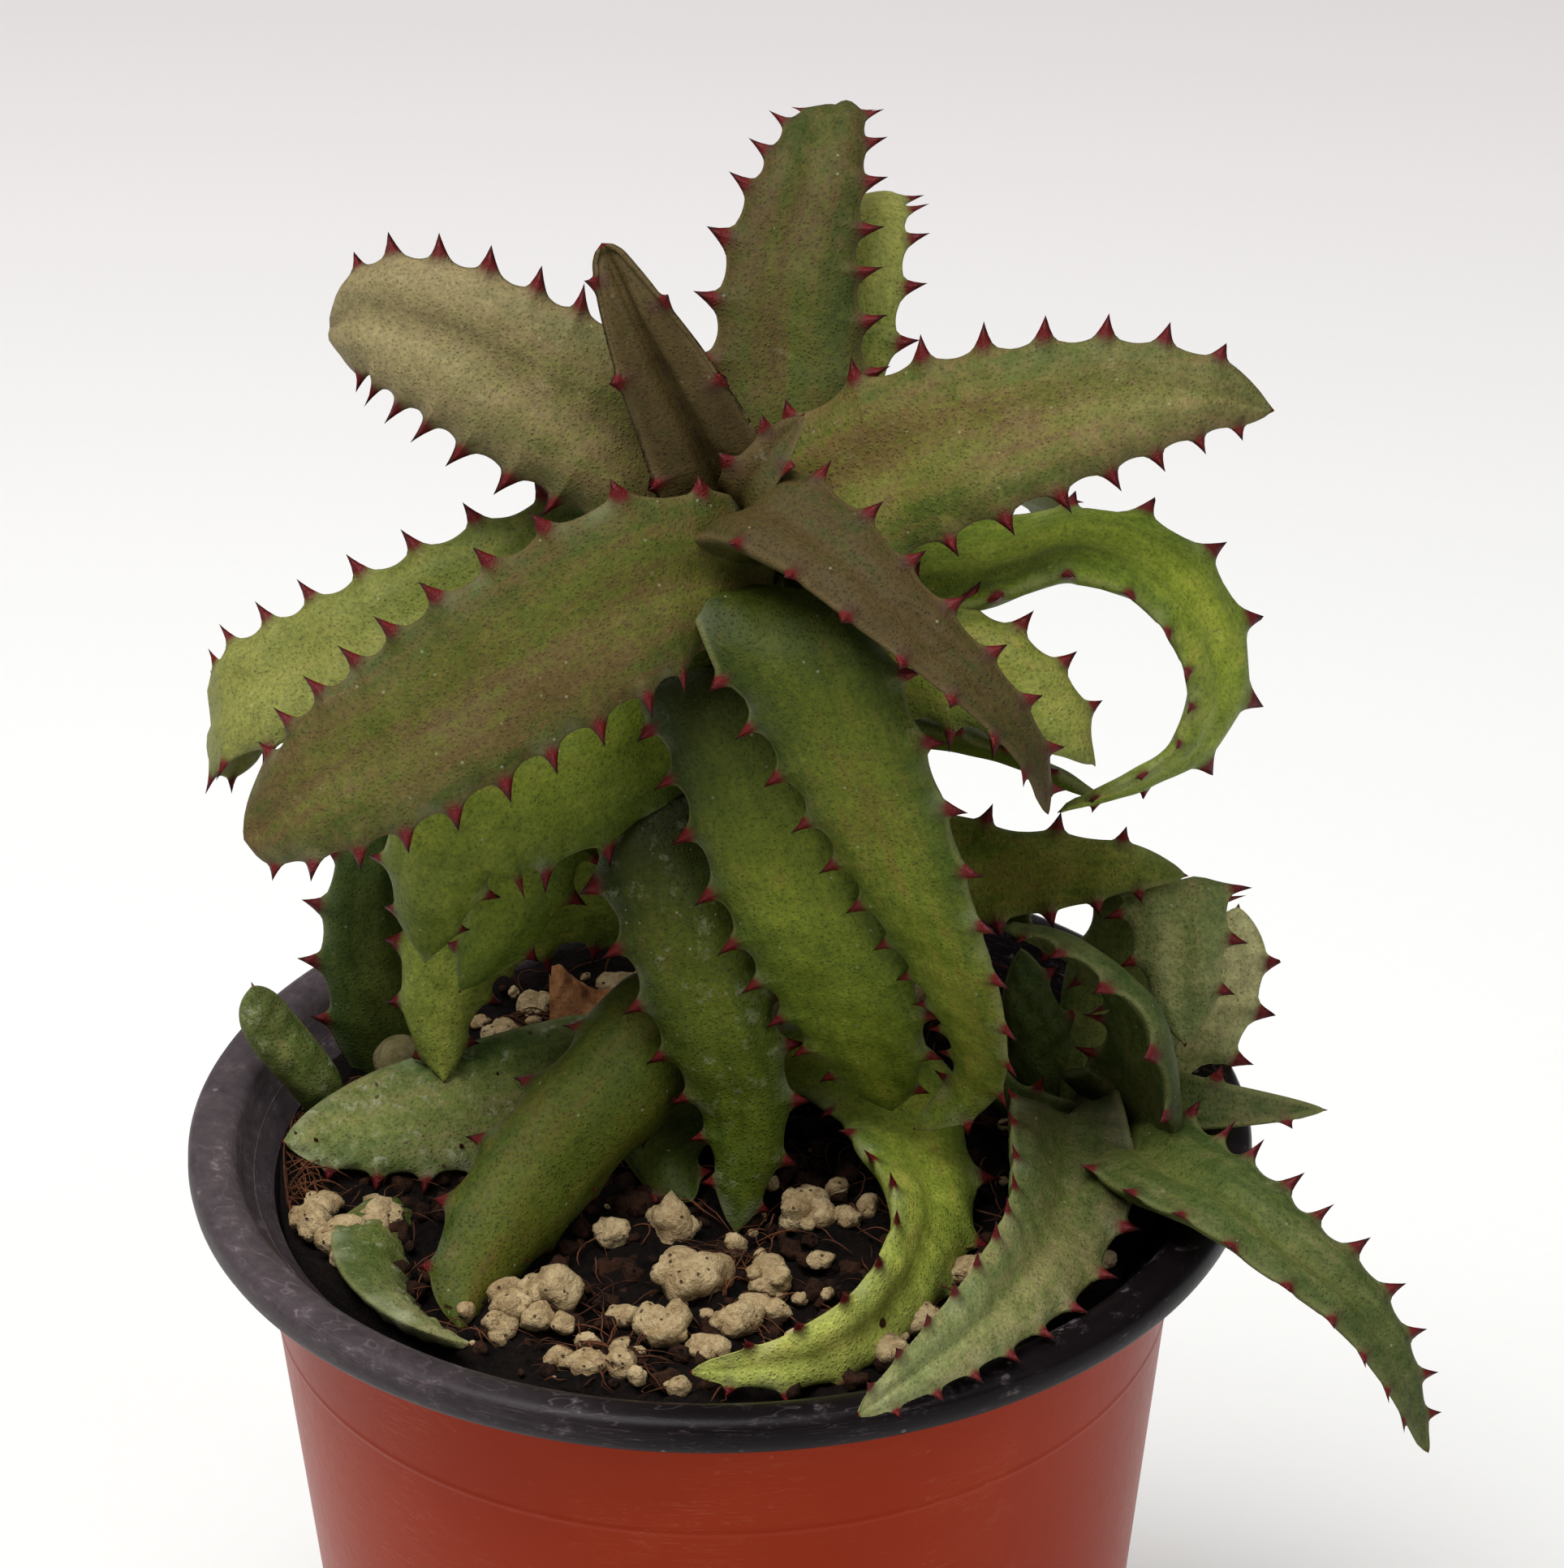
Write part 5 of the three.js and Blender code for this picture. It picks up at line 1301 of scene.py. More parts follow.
    def _depth(self) -> np.ndarray:
        """Draws the plain section: a full belly under a face with a shallow groove.

        Returns:
            How far each point lies below the leaf's middle sheet.
        """
        size = np.abs(self.share)
        belly = self.edge_share + (1 - self.edge_share) * np.sqrt(1 - size ** self.belly_power)
        depth = self.thick * np.where(self.is_lower, belly, self.edge_share * size ** self.face_power)
        lobes = np.sin(math.pi * size) * ease(self.t / self.groove_reach)[:, None] * self.broad
        return depth - np.where(self.is_lower, 0, self.shape.groove * (lobes - self.groove_level))

    def _cut_margin(self, side: int, share: np.ndarray, depth: np.ndarray, stand: np.ndarray) -> None:
        """Gives one margin its teeth, the arcs between them and their droop.

        Args:
            side: 1 for the right margin and -1 for the left.
            share: each point's place across the leaf, which is changed in place.
            depth: how far each lies below the middle sheet, which is changed in place.
            stand: how far a tooth moves each, which is changed in place.
        """
        along, right, up = self.frames[1:]
        height, peak, gap = self._tooth_profile(side)
        tooth_part, arc_part, droop_part = self._weights(side)
        inward = np.minimum(self.scallop, self.scallop_share * self.half) * (gap - self.outset)
        share *= 1 - arc_part * inward / np.maximum(self.half, self.least_half)
        depth += droop_part * gap * self.droop * self.broad
        lean = math.radians(self.tooth_lean)
        out = right * (side * np.cos(self.curl))[..., None] + up * np.sin(self.curl)[..., None]
        point = out * math.cos(lean) + along * math.sin(lean)
        stand += point * (height * tooth_part)[..., None]
        near_tooth = np.where(tooth_part > 0.3, 0.8, np.where(tooth_part > 0, 0.35, 0))
        slim = np.where(self.is_lower, near_tooth, 0)
        flat = self.edge_share * self.thick + self.slim_spare
        depth += (np.minimum(flat, depth) - depth) * slim * peak ** self.slim_power

    def _tooth_shares(self) -> tuple[np.ndarray, np.ndarray]:
        """Where the teeth show their colour.

        Returns:
            How much each point belongs to a tooth, and how near it lies to one, from 0 to 1.
        """
        tooth = np.zeros((len(self.t), len(self.share)))
        halo = np.zeros_like(tooth)
        for side in (1, -1):
            peak = self._tooth_profile(side)[1]
            part = self._weights(side)[0]
            horn = np.clip((peak - self.horn_from) / (1 - self.horn_from), 0, 1)
            tooth = np.maximum(tooth, horn * np.where(part > 0.9, 1.0, part * 1.1))
            inside = self.half * (1 - np.clip(self.share * side, -1, 1))
            for centre, scale in self.teeth[side]:
                away = ((self.reach[:, None] - centre) ** 2 + inside ** 2) / (self.halo * scale) ** 2
                halo = np.maximum(halo, np.exp(-away))
        return tooth, halo

    def _bend(self, share: np.ndarray, depth: np.ndarray) -> np.ndarray:
        """Bends the flat section round its curl.

        Args:
            share: each point's place across the leaf, from -1 to 1.
            depth: how far each lies below the middle sheet.

        Returns:
            The points, row after row.
        """
        points, _, right, up = self.frames
        angle = self.curl * share
        radius = self.half / self.curl
        normal = up * np.cos(angle)[..., None] - right * np.sin(angle)[..., None]
        return (
            points + right * (radius * np.sin(angle))[..., None]
            + up * (radius * (1 - np.cos(angle)))[..., None] - normal * depth[..., None]
        )

    def build(self, material: bpy.types.Material) -> bpy.types.Object:
        """Makes the leaf.

        Args:
            material: the finish of its tone.

        Returns:
            The leaf, with the attributes that its finish reads.
        """
        share = np.tile(self.share, (len(self.t), 1))
        depth = self._depth()
        stand = np.zeros((*share.shape, 3))
        for side in (1, -1):
            self._cut_margin(side, share, depth, stand)
        bumps = self._ripple(share * self.half) * np.minimum(1, self.half / self.full_ripple)
        bumps = bumps * (1 - np.abs(self.share) ** 6)
        depth = depth - bumps * np.where(self.is_lower, -0.6, 1.0)
        corners, faces = self._close(self._bend(share, depth) + stand)
        prickles, prickle_faces = self._prickle_skin(len(corners))
        corners = np.vstack([corners, prickles])
        piece = skin(f"fine_{self.shape.node}", corners, faces + prickle_faces, material)
        self._store(piece.data, share)
        return piece

    def _ripple(self, across: np.ndarray) -> np.ndarray:
        """Soft unevenness of the skin.

        Args:
            across: each point's distance from the middle line.

        Returns:
            The height in millimetres.
        """
        reach = self.reach[:, None]
        turn = self.seed * 2.39
        low = np.sin(reach * 0.41 + across * 0.21 + turn) * np.cos(across * 0.5 - reach * 0.11 + turn * 1.7)
        fine = np.sin(reach * 1.13 - across * 0.52 + turn * 0.6) * np.cos(across * 1.2 + reach * 0.3 + turn)
        ribs = np.cos(across * 1.35 + turn + 0.4 * np.sin(reach * 0.2 + turn))
        rough = self.shape.bumps - 1
        warty = rough * np.sin(reach * 1.9 + across * 0.9) * np.sin(across * 2.1 - reach * 0.7)
        return self.ripple * (low * 1.4 + fine * 0.6 + ribs * 0.75 + warty)

    def _wear(self, inside: np.ndarray) -> np.ndarray:
        """Where the skin's edge is rubbed pale: patches along the margins.

        Args:
            inside: each point's distance from the margin.

        Returns:
            How rubbed each point is, from 0 to 1.
        """
        reach = self.reach
        turn = self.seed * 1.37
        patch = np.sin(reach * 0.5 + turn) * 0.5 + np.sin(reach * 1.7 + turn * 2) * 0.35 + 0.1
        return self.shape.wear * np.clip(patch, 0, 1)[:, None] * np.exp(-(inside / 1.1) ** 2)

    def _close(self, grid: np.ndarray) -> tuple[np.ndarray, list[tuple[int, ...]]]:
        """Joins the rows into a closed skin with a point at each end.

        Args:
            grid: the rows of points.

        Returns:
            All points, with the foot's and the tip's last, and the faces.
        """
        count, sides = grid.shape[:2]
        directions = self.line.at(np.array([0.0, 1.0]))[1]
        foot = grid[0].mean(axis=0) - directions[0] * self.foot_cap
        tip = grid[-1].mean(axis=0) + directions[1] * self.tip_reach
        corners = np.vstack([grid.reshape(-1, 3), foot, tip])
        faces = hose_faces(count, sides)
        last = (count - 1) * sides
        for side in range(sides):
            follow = (side + 1) % sides
            faces.append((count * sides, follow, side))
            faces.append((count * sides + 1, last + side, last + follow))
        return corners, faces

    def _prickle_skin(self, first: int) -> tuple[np.ndarray, list[tuple[int, ...]]]:
        """Small cones that stand on the leaf's back or face.

        Args:
            first: the number of the first corner that is free.

        Returns:
            Their corners, a ring round each foot and one at its point, and their faces.
        """
        corners = np.zeros((0, 3))
        faces = []
        sides = self.prickle_sides
        for t, place, size in self.shape.prickles:
            at = np.array([t])
            half, thick, curl = (values[0] for values in self._section(at))
            origin, along, right, up = (values[0] for values in self._frames(at))
            angle = curl * place
            normal = up * math.cos(angle) - right * math.sin(angle)
            out = right * math.cos(angle) + up * math.sin(angle)
            bend = half / curl
            foot = origin + right * (bend * math.sin(angle)) + up * (bend * (1 - math.cos(angle)))
            foot = foot - normal * (self.edge_share * thick * place ** 4 + self.prickle_sink)
            spin = np.arange(sides) / sides * 2 * math.pi
            outline = np.cos(spin)[:, None] * out + np.sin(spin)[:, None] * along
            ring = foot + self.prickle_spread * size * outline
            height = self.prickle_height * size + self.prickle_sink
            point = foot + normal * height + along * self.prickle_lean * size
            start = first + len(corners)
            corners = np.vstack([corners, ring, point])
            faces += [(start + side, start + (side + 1) % sides, start + sides) for side in range(sides)]
            faces.append(tuple(start + side for side in reversed(range(sides))))
        return corners, faces

    def _store(self, mesh: bpy.types.Mesh, share: np.ndarray) -> None:
        """Writes what the finish reads onto the mesh.

        flow holds the place across and along the leaf in millimetres, and the leaf's own number,
        zone the share of a tooth, the nearness to one and the distance from the margin, lie
        the share of the length, whether it is the underside, and rubbing, and the last attribute
        the leaf's painted light, lowered towards its foot as painted shade, its scabs and its ribs.

        Args:
            mesh: the leaf's mesh.
            share: each point's place across the leaf, from -1 to 1.
        """
        shape = self.shape
        cones = (len(shape.prickles), 1)
        cone_corners = (cones[0] * (self.prickle_sides + 1), 1)
        pattern = self.seed * self.pattern_step
        size = np.abs(self.share)
        inside = self.half * (1 - size)
        tooth, halo = self._tooth_shares()
        under = self.is_lower * (1 - size ** 8)
        flow = np.stack(np.broadcast_arrays(share * self.half, self.reach[:, None], pattern), -1)
        zone = np.stack([tooth, halo, inside], -1)
        lie = np.stack(np.broadcast_arrays(self.t[:, None], under, self._wear(inside)), -1)
        foot_flow = (0.0, 0.0, pattern)
        tip_flow = (0.0, self.line.length, pattern)
        cone_zone = np.tile([(0.45, 0.9, 3.0)] * self.prickle_sides + [(1.0, 0.9, 3.0)], cones)
        rows = {
            "flow": [flow.reshape(-1, 3), foot_flow, tip_flow, np.tile(tip_flow, cone_corners)],
            "zone": [zone.reshape(-1, 3), (0, 0, 3.0), (0.75, 0.9, 0), cone_zone],
            "lie": [lie.reshape(-1, 3), (0, 1, 0), (1, 0, 0), np.tile((0.5, 0, 0), cone_corners)],
        }
        values = {name: np.vstack(blocks) for name, blocks in rows.items()}
        count = len(values["flow"])
        values["habit"] = np.tile((shape.brown, shape.pale, shape.cork), (count, 1))
        # Painted light: each leaf's brightness, rising from its foot share, which is painted shade, to full
        # along the leaf.
        lit = shape.light * (shape.foot + (1 - shape.foot) * ease(values["lie"][:, 0] / self.foot_shade_reach))
        ribs = np.cos(values["flow"][:, 0] * 1.9 + self.seed)
        values["painted_light_scab_ribs"] = np.stack([lit, np.full(count, shape.scab), ribs], -1)
        for name, block in values.items():
            layer = mesh.attributes.new(name, "FLOAT_VECTOR", "POINT")
            layer.data.foreach_set("vector", block.astype(np.float32).ravel())


# Stems

@dataclass(frozen=True)
class Stem:
    """A stem that stands in the soil, with the scars of shed leaves round it."""

    node: str
    line: tuple[Point, ...]
    radii: tuple[float, ...]
    top_rise: float = 1.0
    rings: int = 90
    sides: int = 36
    scar_pitch: float = 3.1
    scar_depth: float = 0.22
    roughness: float = 0.18

    def build(self, material: bpy.types.Material) -> bpy.types.Object:
        """Makes the stem.

        Args:
            material: its bark.

        Returns:
            The stem.
        """
        line = SmoothLine(self.line)
        shares = np.concatenate([np.linspace(0, 1, self.rings), [1.0, 1.0]])
        points, along = line.at(shares)
        radius = np.interp(shares, np.linspace(0, 1, len(self.radii)), self.radii)
        scars = np.abs(np.sin(shares * line.length / self.scar_pitch * math.pi)) ** 0.5
        radius = radius - self.scar_depth * (1 - scars)
        radius[-2:] *= (0.75, 0.3)
        points[-2:] += along[-2:] * np.array([[0.6], [0.95]]) * self.top_rise
        right = unit(np.cross(np.array([1.0, 0, 0]), along))
        up = np.cross(along, right)
        spin = np.arange(self.sides) / self.sides * 2 * math.pi
        ring = np.cos(spin)[:, None] * right[:, None, :] + np.sin(spin)[:, None] * up[:, None, :]
        corners = (points[:, None, :] + ring * radius[:, None, None]).reshape(-1, 3)
        rough = crumpled(corners, 0.35, 3, 3) * self.roughness
        corners = corners + ring.reshape(-1, 3) * rough[:, None]
        return skin(f"fine_{self.node}", corners, tube_faces(len(shares), self.sides), material)


STEMS: tuple[Stem, ...] = (
    Stem(
        "stem_main", ((0, 10, 74), (1, 9, 90), (2.5, 7.5, 112), (3.5, 5.5, 134), (4, 4, 148)),
        (5.2, 4.8, 4.4, 3.8, 2.2),
    ),
    Stem(
        "stem_offset_right", ((34, 8, 74), (35, 6, 82), (36.5, 3, 89)), (4.2, 3.8, 2.6), rings=30,
    ),
    Stem(
        "stem_offset_left", ((-26, 16, 74), (-28.5, 14.5, 82), (-31, 12.5, 88.5)), (4, 3.6, 2.4), rings=30,
    ),
)


# Plant

class Plant:
    """The living leaves and their stems."""

    def __init__(self) -> None:
        """Makes the leaves' finishes, one for each tone."""
        self.finishes = {tone: finish.build() for tone, finish in LEAF_FINISHES.items()}

    def build(self) -> None:
        """Builds every leaf and stem."""
        for seed, shape in enumerate(BLADES):
            piece = Blade(shape, seed).build(self.finishes[shape.tone])
            declare(piece, (shape.node,), shape.tone.value)
        bark = STEM_FINISH.build()
        for stem in STEMS:
            declare(stem.build(bark), (stem.node,), "stem")


# Withered leaf

@dataclass(frozen=True)
class WitheredLeaf:
    """A dry arched scrap of leaf with a torn toothed edge, on the soil behind the stem's foot."""

    centre: Pair = (-11.0, 25.0)
    length: float = 11.0
    width: float = 9.0
    end_share: float = 0.55
    thickness: float = 0.5
    height: float = 5.5
    wave_share: float = 0.3
    wave_turn: float = 7.0
    rag: float = 0.09
    rag_turn: float = 26.0
    rag_from: float = 0.9
    crease: float = 0.55
    clear: float = 0.35
    rows: int = 56
    columns: int = 40

    def _sheet(self, lift: float) -> np.ndarray:
        """Points of one side of the sheet.

        Args:
            lift: how far it is raised, in millimetres.

        Returns:
            The points, row after row.
        """
        rows, columns = np.linspace(0, 1, self.rows), np.linspace(-1, 1, self.columns)
        t, share = np.meshgrid(rows, columns, indexing="ij")
        ragged = 1 + self.rag * np.sin(t * self.rag_turn) ** 3 * (np.abs(share) > self.rag_from)
        half = self.width / 2 * (self.end_share + (1 - self.end_share) * np.sin(math.pi * t)) * ragged
        wave = 1 - self.wave_share * (1 - np.cos(t * self.wave_turn))
        x = self.centre[0] + (t - 0.5) * self.length
        y = self.centre[1] + share * half
        fold = crumpled(np.stack([x.ravel(), y.ravel(), t.ravel() * 3], 1), 0.42, 11, 3).reshape(t.shape)
        creases = 1 - 2 * np.abs(fold)
        arch = self.height * (1 - share ** 2) * wave + creases * self.crease * (1 - share ** 4)
        z = soil_height(x, y) + self.clear + arch
        return np.stack([x, y, z + lift], -1).reshape(-1, 3)

    def build(self, material: bpy.types.Material) -> bpy.types.Object:
        """Makes the withered leaf.

        Args:
            material: its dry skin.

        Returns:
            The leaf as a thin closed sheet.
        """
        top, bottom = self._sheet(self.thickness), self._sheet(0.0)
        count = len(top)
        faces = []
        for row in range(self.rows - 1):
            for column in range(self.columns - 1):
                a = row * self.columns + column
                b, c, d = a + 1, a + self.columns + 1, a + self.columns
                faces += [(a, b, c, d), (a + count, d + count, c + count, b + count)]
        edge = list(range(self.columns))
        edge += [row * self.columns + self.columns - 1 for row in range(1, self.rows)]
        edge += [(self.rows - 1) * self.columns + column for column in reversed(range(self.columns - 1))]
        edge += [row * self.columns for row in reversed(range(1, self.rows - 1))]
        for a, b in zip(edge, edge[1:] + edge[:1]):
            faces.append((b, a, a + count, b + count))
        return skin("fine_leaf_withered", np.vstack([top, bottom]), faces, material)


# Soil

SOIL_LEVEL = 82.4
SOIL_CROWN = 2.2
SOIL_REACH = 45.2
SOIL_WAVE = 0.6


def soil_height(x: np.ndarray, y: np.ndarray) -> np.ndarray:
    """Height of the soil's surface, as the part's source gives it."""
    waves = np.sin(x * 0.31 + 1) * np.cos(y * 0.27) + 0.5 * np.sin(x * 0.13 - y * 0.41)
    return SOIL_LEVEL + SOIL_CROWN * (1 - (x * x + y * y) / SOIL_REACH ** 2) + SOIL_WAVE * waves


@dataclass(frozen=True)
class Soil:
    """The coir that fills the pot, with pumice grains, crumbs and fibres on it.

    Grains are x, y and diameter. Clusters and tufts are x, y and spread. Clods and grit are the
    scale and height of the surface's lumps, sizes are diameters, and bends are radians a step.
    """

    floor_z: float = 4.7
    floor_radius: float = 33.2
    rim_radius: float = 41.4
    rim_z: float = 82.2
    rings: int = 80
    sides: int = 240
    heave: float = 1.25
    clods: Pair = (0.16, 1.1)
    grit: Pair = (0.5, 0.8)
    level: float = 0.35
    bank: float = 1.3
    bank_from: float = 33.0
    sink: float = 0.3
    knobs: int = 5
    knob_sizes: Pair = (0.32, 0.6)
    knob_offset: float = 0.32
    grain_sizes: Pair = (1.1, 2.9)
    bit_sizes: Pair = (0.6, 1.7)
    crumb_sizes: Pair = (0.6, 2.4)
    crumb_reach: float = 40.0
    cluster_reach: float = 39.0
    fibre_reach: float = 38.5
    strand_reach: float = 41.0
    fibre_lengths: Pair = (2.5, 8)
    fibre_radii: Pair = (0.045, 0.12)
    fibre_bend: float = 0.35
    hair_lengths: Pair = (6, 13)
    hair_radius: float = 0.05
    hair_bend: float = 0.75
    strand_steps: int = 9
    strand_sides: int = 4
    clusters: tuple[Point, ...] = (
        (-1.5, -27, 4.5), (1, -24, 4.0), (-18, -26, 2.6), (9, -12, 3.2), (-35, -11, 3.2), (-20, 22, 4.0),
        (20, -28, 2.8), (-11, -34.5, 2.0),
    )
    cluster_grains: int = 64
    small_grains: int = 44
    crumbs: int = 700
    fibres: int = 420
    hairs: int = 24
    tuft_strands: int = 320
    tufts: tuple[Point, ...] = (
        (-40.2, -3.5, 2.6), (-40.6, 1.5, 2.6), (-38, 8, 2.6), (-16, 22, 3), (2, -24, 5), (-10, -33, 3.5),
    )
    grains: tuple[Point, ...] = (
        (-38, -10.5, 4.2), (-37, -7.5, 3.4), (-34.5, -13, 4), (-31.5, -10.5, 3.8), (-34.5, -17.5, 3),
        (-4.5, -13, 5), (-2, -22.5, 6.2), (-5.5, -28.5, 5), (-1, -32, 3.6), (1.5, -28.5, 4.4),
        (4.5, -22, 4.2), (8, -10.5, 4.4), (-10, -14, 3.4), (-15, -24, 4.4), (-19, -26, 3.4),
        (-14.5, -33.5, 3), (23, -20, 3.8), (19, -28.5, 4), (15.5, -33.5, 3.2), (34.5, -18.5, 4),
        (-21, 20.5, 4.2), (-18, 27.5, 3.6), (-10, 31, 4.2), (6, 33, 4.6), (20, 29, 3.8),
        (29, 21, 4.2), (-27, 28, 3.8), (12, 24, 3.4),
    )

    def _surface_z(self, x: float, y: float) -> float:
        """Height at one place of the soil's smooth surface, with the coir banked against the wall."""
        return float(soil_height(np.array(x), np.array(y)) + self._bank(np.hypot(x, y)))

    def _bank(self, reach: np.ndarray) -> np.ndarray:
        """How much higher the coir lies near the wall, at a distance from the pot's middle."""
        return self.bank * ease((reach - self.bank_from) / (self.rim_radius - self.bank_from))

    def ground(self, material: bpy.types.Material) -> bpy.types.Object:
        """Makes the body of soil with its crumbly face.

        Args:
            material: the coir's finish.

        Returns:
            The soil.
        """
        spin = np.arange(self.sides) / self.sides * 2 * math.pi
        reach = self.rim_radius * np.linspace(0, 1, self.rings + 1)[1:] ** 0.8
        x = reach[:, None] * np.cos(spin)
        y = reach[:, None] * np.sin(spin)
        flat = np.stack([x, y, x * 0], -1).reshape(-1, 3)
        rough = crumpled(flat, self.clods[0], 21, 5) * self.clods[1]
        rough = rough + np.abs(crumpled(flat, self.grit[0], 33, 3)) * self.grit[1]
        z = soil_height(x, y) + (rough.reshape(x.shape) - self.level) * self.heave
        z += self._bank(reach)[:, None]
        top = np.stack([x, y, z], -1)
        edges = ((self.rim_radius + 0.2, self.rim_z - 2.0), (self.floor_radius, self.floor_z))
        wall = np.stack([
            np.stack([radius * np.cos(spin), radius * np.sin(spin), np.full_like(spin, height)], -1)
            for radius, height in edges
        ])
        rings = np.concatenate([top, wall])
        corners = rings.reshape(-1, 3)
        return skin("fine_soil", corners, tube_faces(len(rings), self.sides), material)

    def _stone(
        self,
        ball: np.ndarray,
        rng: random.Random,
        diameter: float,
        rough: float,
        flatness: float,
    ) -> np.ndarray:
        """Shapes a ball into one lumpy stone.

        Args:
            ball: corners of a ball of radius 1.
            rng: the numbers to draw from.
            diameter: the stone's size in millimetres.
            rough: how lumpy it is.
            flatness: its height as a share of its width.

        Returns:
            Its corners round the origin, in millimetres.
        """
        seed = rng.randrange(1000)
        ridged = 0.45 - np.abs(crumpled(ball + seed, 1.15, seed + 5, 2))
        blob = 1 + rough * (crumpled(ball + seed, 1.1, seed, 3) + ridged * 0.6)
        stretch = np.array([rng.uniform(0.85, 1.15), rng.uniform(0.7, 1.0), flatness])
        turn = np.array(Matrix.Rotation(rng.uniform(0, math.tau), 3, "Z"))
        return (ball * blob[:, None] * stretch) @ turn.T * diameter / 2

    def _stones(
        self,
        name: str,
        places: list[tuple[Vector, float]],
        level: int,
        rough: float,
        material: bpy.types.Material,
    ) -> bpy.types.Object:
        """Makes many stones as one piece.

        Args:
            name: the piece's name.
            places: centre and diameter of each stone.
            level: how fine each one is.
            rough: how lumpy.
            material: their finish.

        Returns:
            The piece.
        """
        rng = random.Random(name)
        deselect()
        bpy.ops.mesh.primitive_ico_sphere_add(subdivisions=level, radius=1.0)
        ball = bpy.context.object
        round_corners = np.array([list(vertex.co) for vertex in ball.data.vertices])
        plain = [tuple(face.vertices) for face in ball.data.polygons]
        bpy.data.objects.remove(ball)
        corners, faces = [], []
        for centre, diameter in places:
            start = sum(len(block) for block in corners)
            flatness = rng.uniform(0.66, 0.95)
            corners.append(self._stone(round_corners, rng, diameter, rough, flatness) + np.array(centre))
            faces += [tuple(start + corner for corner in face) for face in plain]
        return skin(name, np.vstack(corners), faces, material)

    def _free_places(self, count: int, sizes: Pair, seed: int, sink: float) -> list[tuple[Vector, float]]:
        """Seeded places on the soil.

        Args:
            count: how many.
            sizes: the least and the largest diameter.
            seed: which draw.
            sink: how deep each lies, as a share of its diameter.

        Returns:
            The centre and diameter of each.
        """
        rng = random.Random(seed)
        found = []
        for _ in range(count):
            x, y = self._spot(rng, self.crumb_reach)
            diameter = rng.uniform(*sizes)
            found.append((Vector((x, y, self._surface_z(x, y) + diameter * (0.5 - sink))), diameter))
        return found

    def pumice(self, material: bpy.types.Material) -> list[bpy.types.Object]:
        """Makes the pumice: the large grains with knobs on them, and small bits among them.

        Args:
            material: the pumice's finish.

        Returns:
            The pieces.
        """
        rng = random.Random(8)
        places = []
        for x, y, diameter in self.grains:
            z = self._surface_z(x, y) + diameter * (0.5 - self.sink)
            places.append((Vector((x, y, z)), diameter * 0.98))
            for _ in range(self.knobs):
                spin = rng.uniform(0, math.tau)
                rise = rng.uniform(-0.2, 0.55)
                offset = Vector((math.cos(spin), math.sin(spin), rise)) * diameter * self.knob_offset
                places.append((Vector((x, y, z)) + offset, diameter * rng.uniform(*self.knob_sizes)))
        for _ in range(self.cluster_grains):
            x, y, spread = rng.choice(self.clusters)
            spot = Vector((x + rng.gauss(0, spread), y + rng.gauss(0, spread)))
            spot *= min(1.0, self.cluster_reach / spot.length)
            size = rng.uniform(*self.grain_sizes)
            rise = size * (0.5 - self.sink) + rng.uniform(0, 0.5)
            places.append((Vector((*spot, self._surface_z(*spot) + rise)), size))
        small = self._free_places(self.small_grains, self.bit_sizes, 5, 0.2)
        return [
            self._stones("pumice_grains", places, 3, 0.5, material),
            self._stones("pumice_bits", small, 2, 0.32, material),
        ]

    def rubble(self, material: bpy.types.Material) -> bpy.types.Object:
        """Makes the dark crumbs of coir and bark."""
        places = self._free_places(self.crumbs, self.crumb_sizes, 9, 0.45)
        return self._stones("coir_crumbs", places, 2, 0.9, material)

    def fibre_mat(self, material: bpy.types.Material) -> bpy.types.Object:
        """Makes the coir fibres and fine root hairs that lie on the soil.

        Args:
            material: their finish.

        Returns:
            All of them as one piece of thin bent tubes.
        """
        rng = random.Random(14)
        corners, faces = [], []
        loose = self.fibres + self.hairs
        plain = tube_faces(self.strand_steps, self.strand_sides)
        for strand in range(loose + self.tuft_strands):
            hair = self.fibres <= strand < loose
            length = rng.uniform(*(self.hair_lengths if hair else self.fibre_lengths))
            radius = self.hair_radius if hair else rng.uniform(*self.fibre_radii)
            place = self._spot(rng, self.fibre_reach) if strand < loose else self._tuft_start(rng)
            start = sum(len(block) for block in corners)
            bend = self.hair_bend if hair else self.fibre_bend
            corners.append(self._strand(rng, place, length, radius, bend))
            faces += [tuple(start + corner for corner in face) for face in plain]
        return skin("coir_fibres", np.vstack(corners), faces, material)

    def _spot(self, rng: random.Random, furthest: float) -> np.ndarray:
        """A place anywhere on the soil.

        Args:
            rng: the numbers to draw from.
            furthest: the largest distance from the pot's middle.

        Returns:
            Its x and y.
        """
        spin = rng.uniform(0, math.tau)
        reach = furthest * math.sqrt(rng.random())
        return np.array([reach * math.cos(spin), reach * math.sin(spin)])

    def _tuft_start(self, rng: random.Random) -> np.ndarray:
        """A place in one of the tufts of coir."""
        x, y, spread = rng.choice(self.tufts)
        return np.array([x + rng.gauss(0, spread / 2), y + rng.gauss(0, spread)])

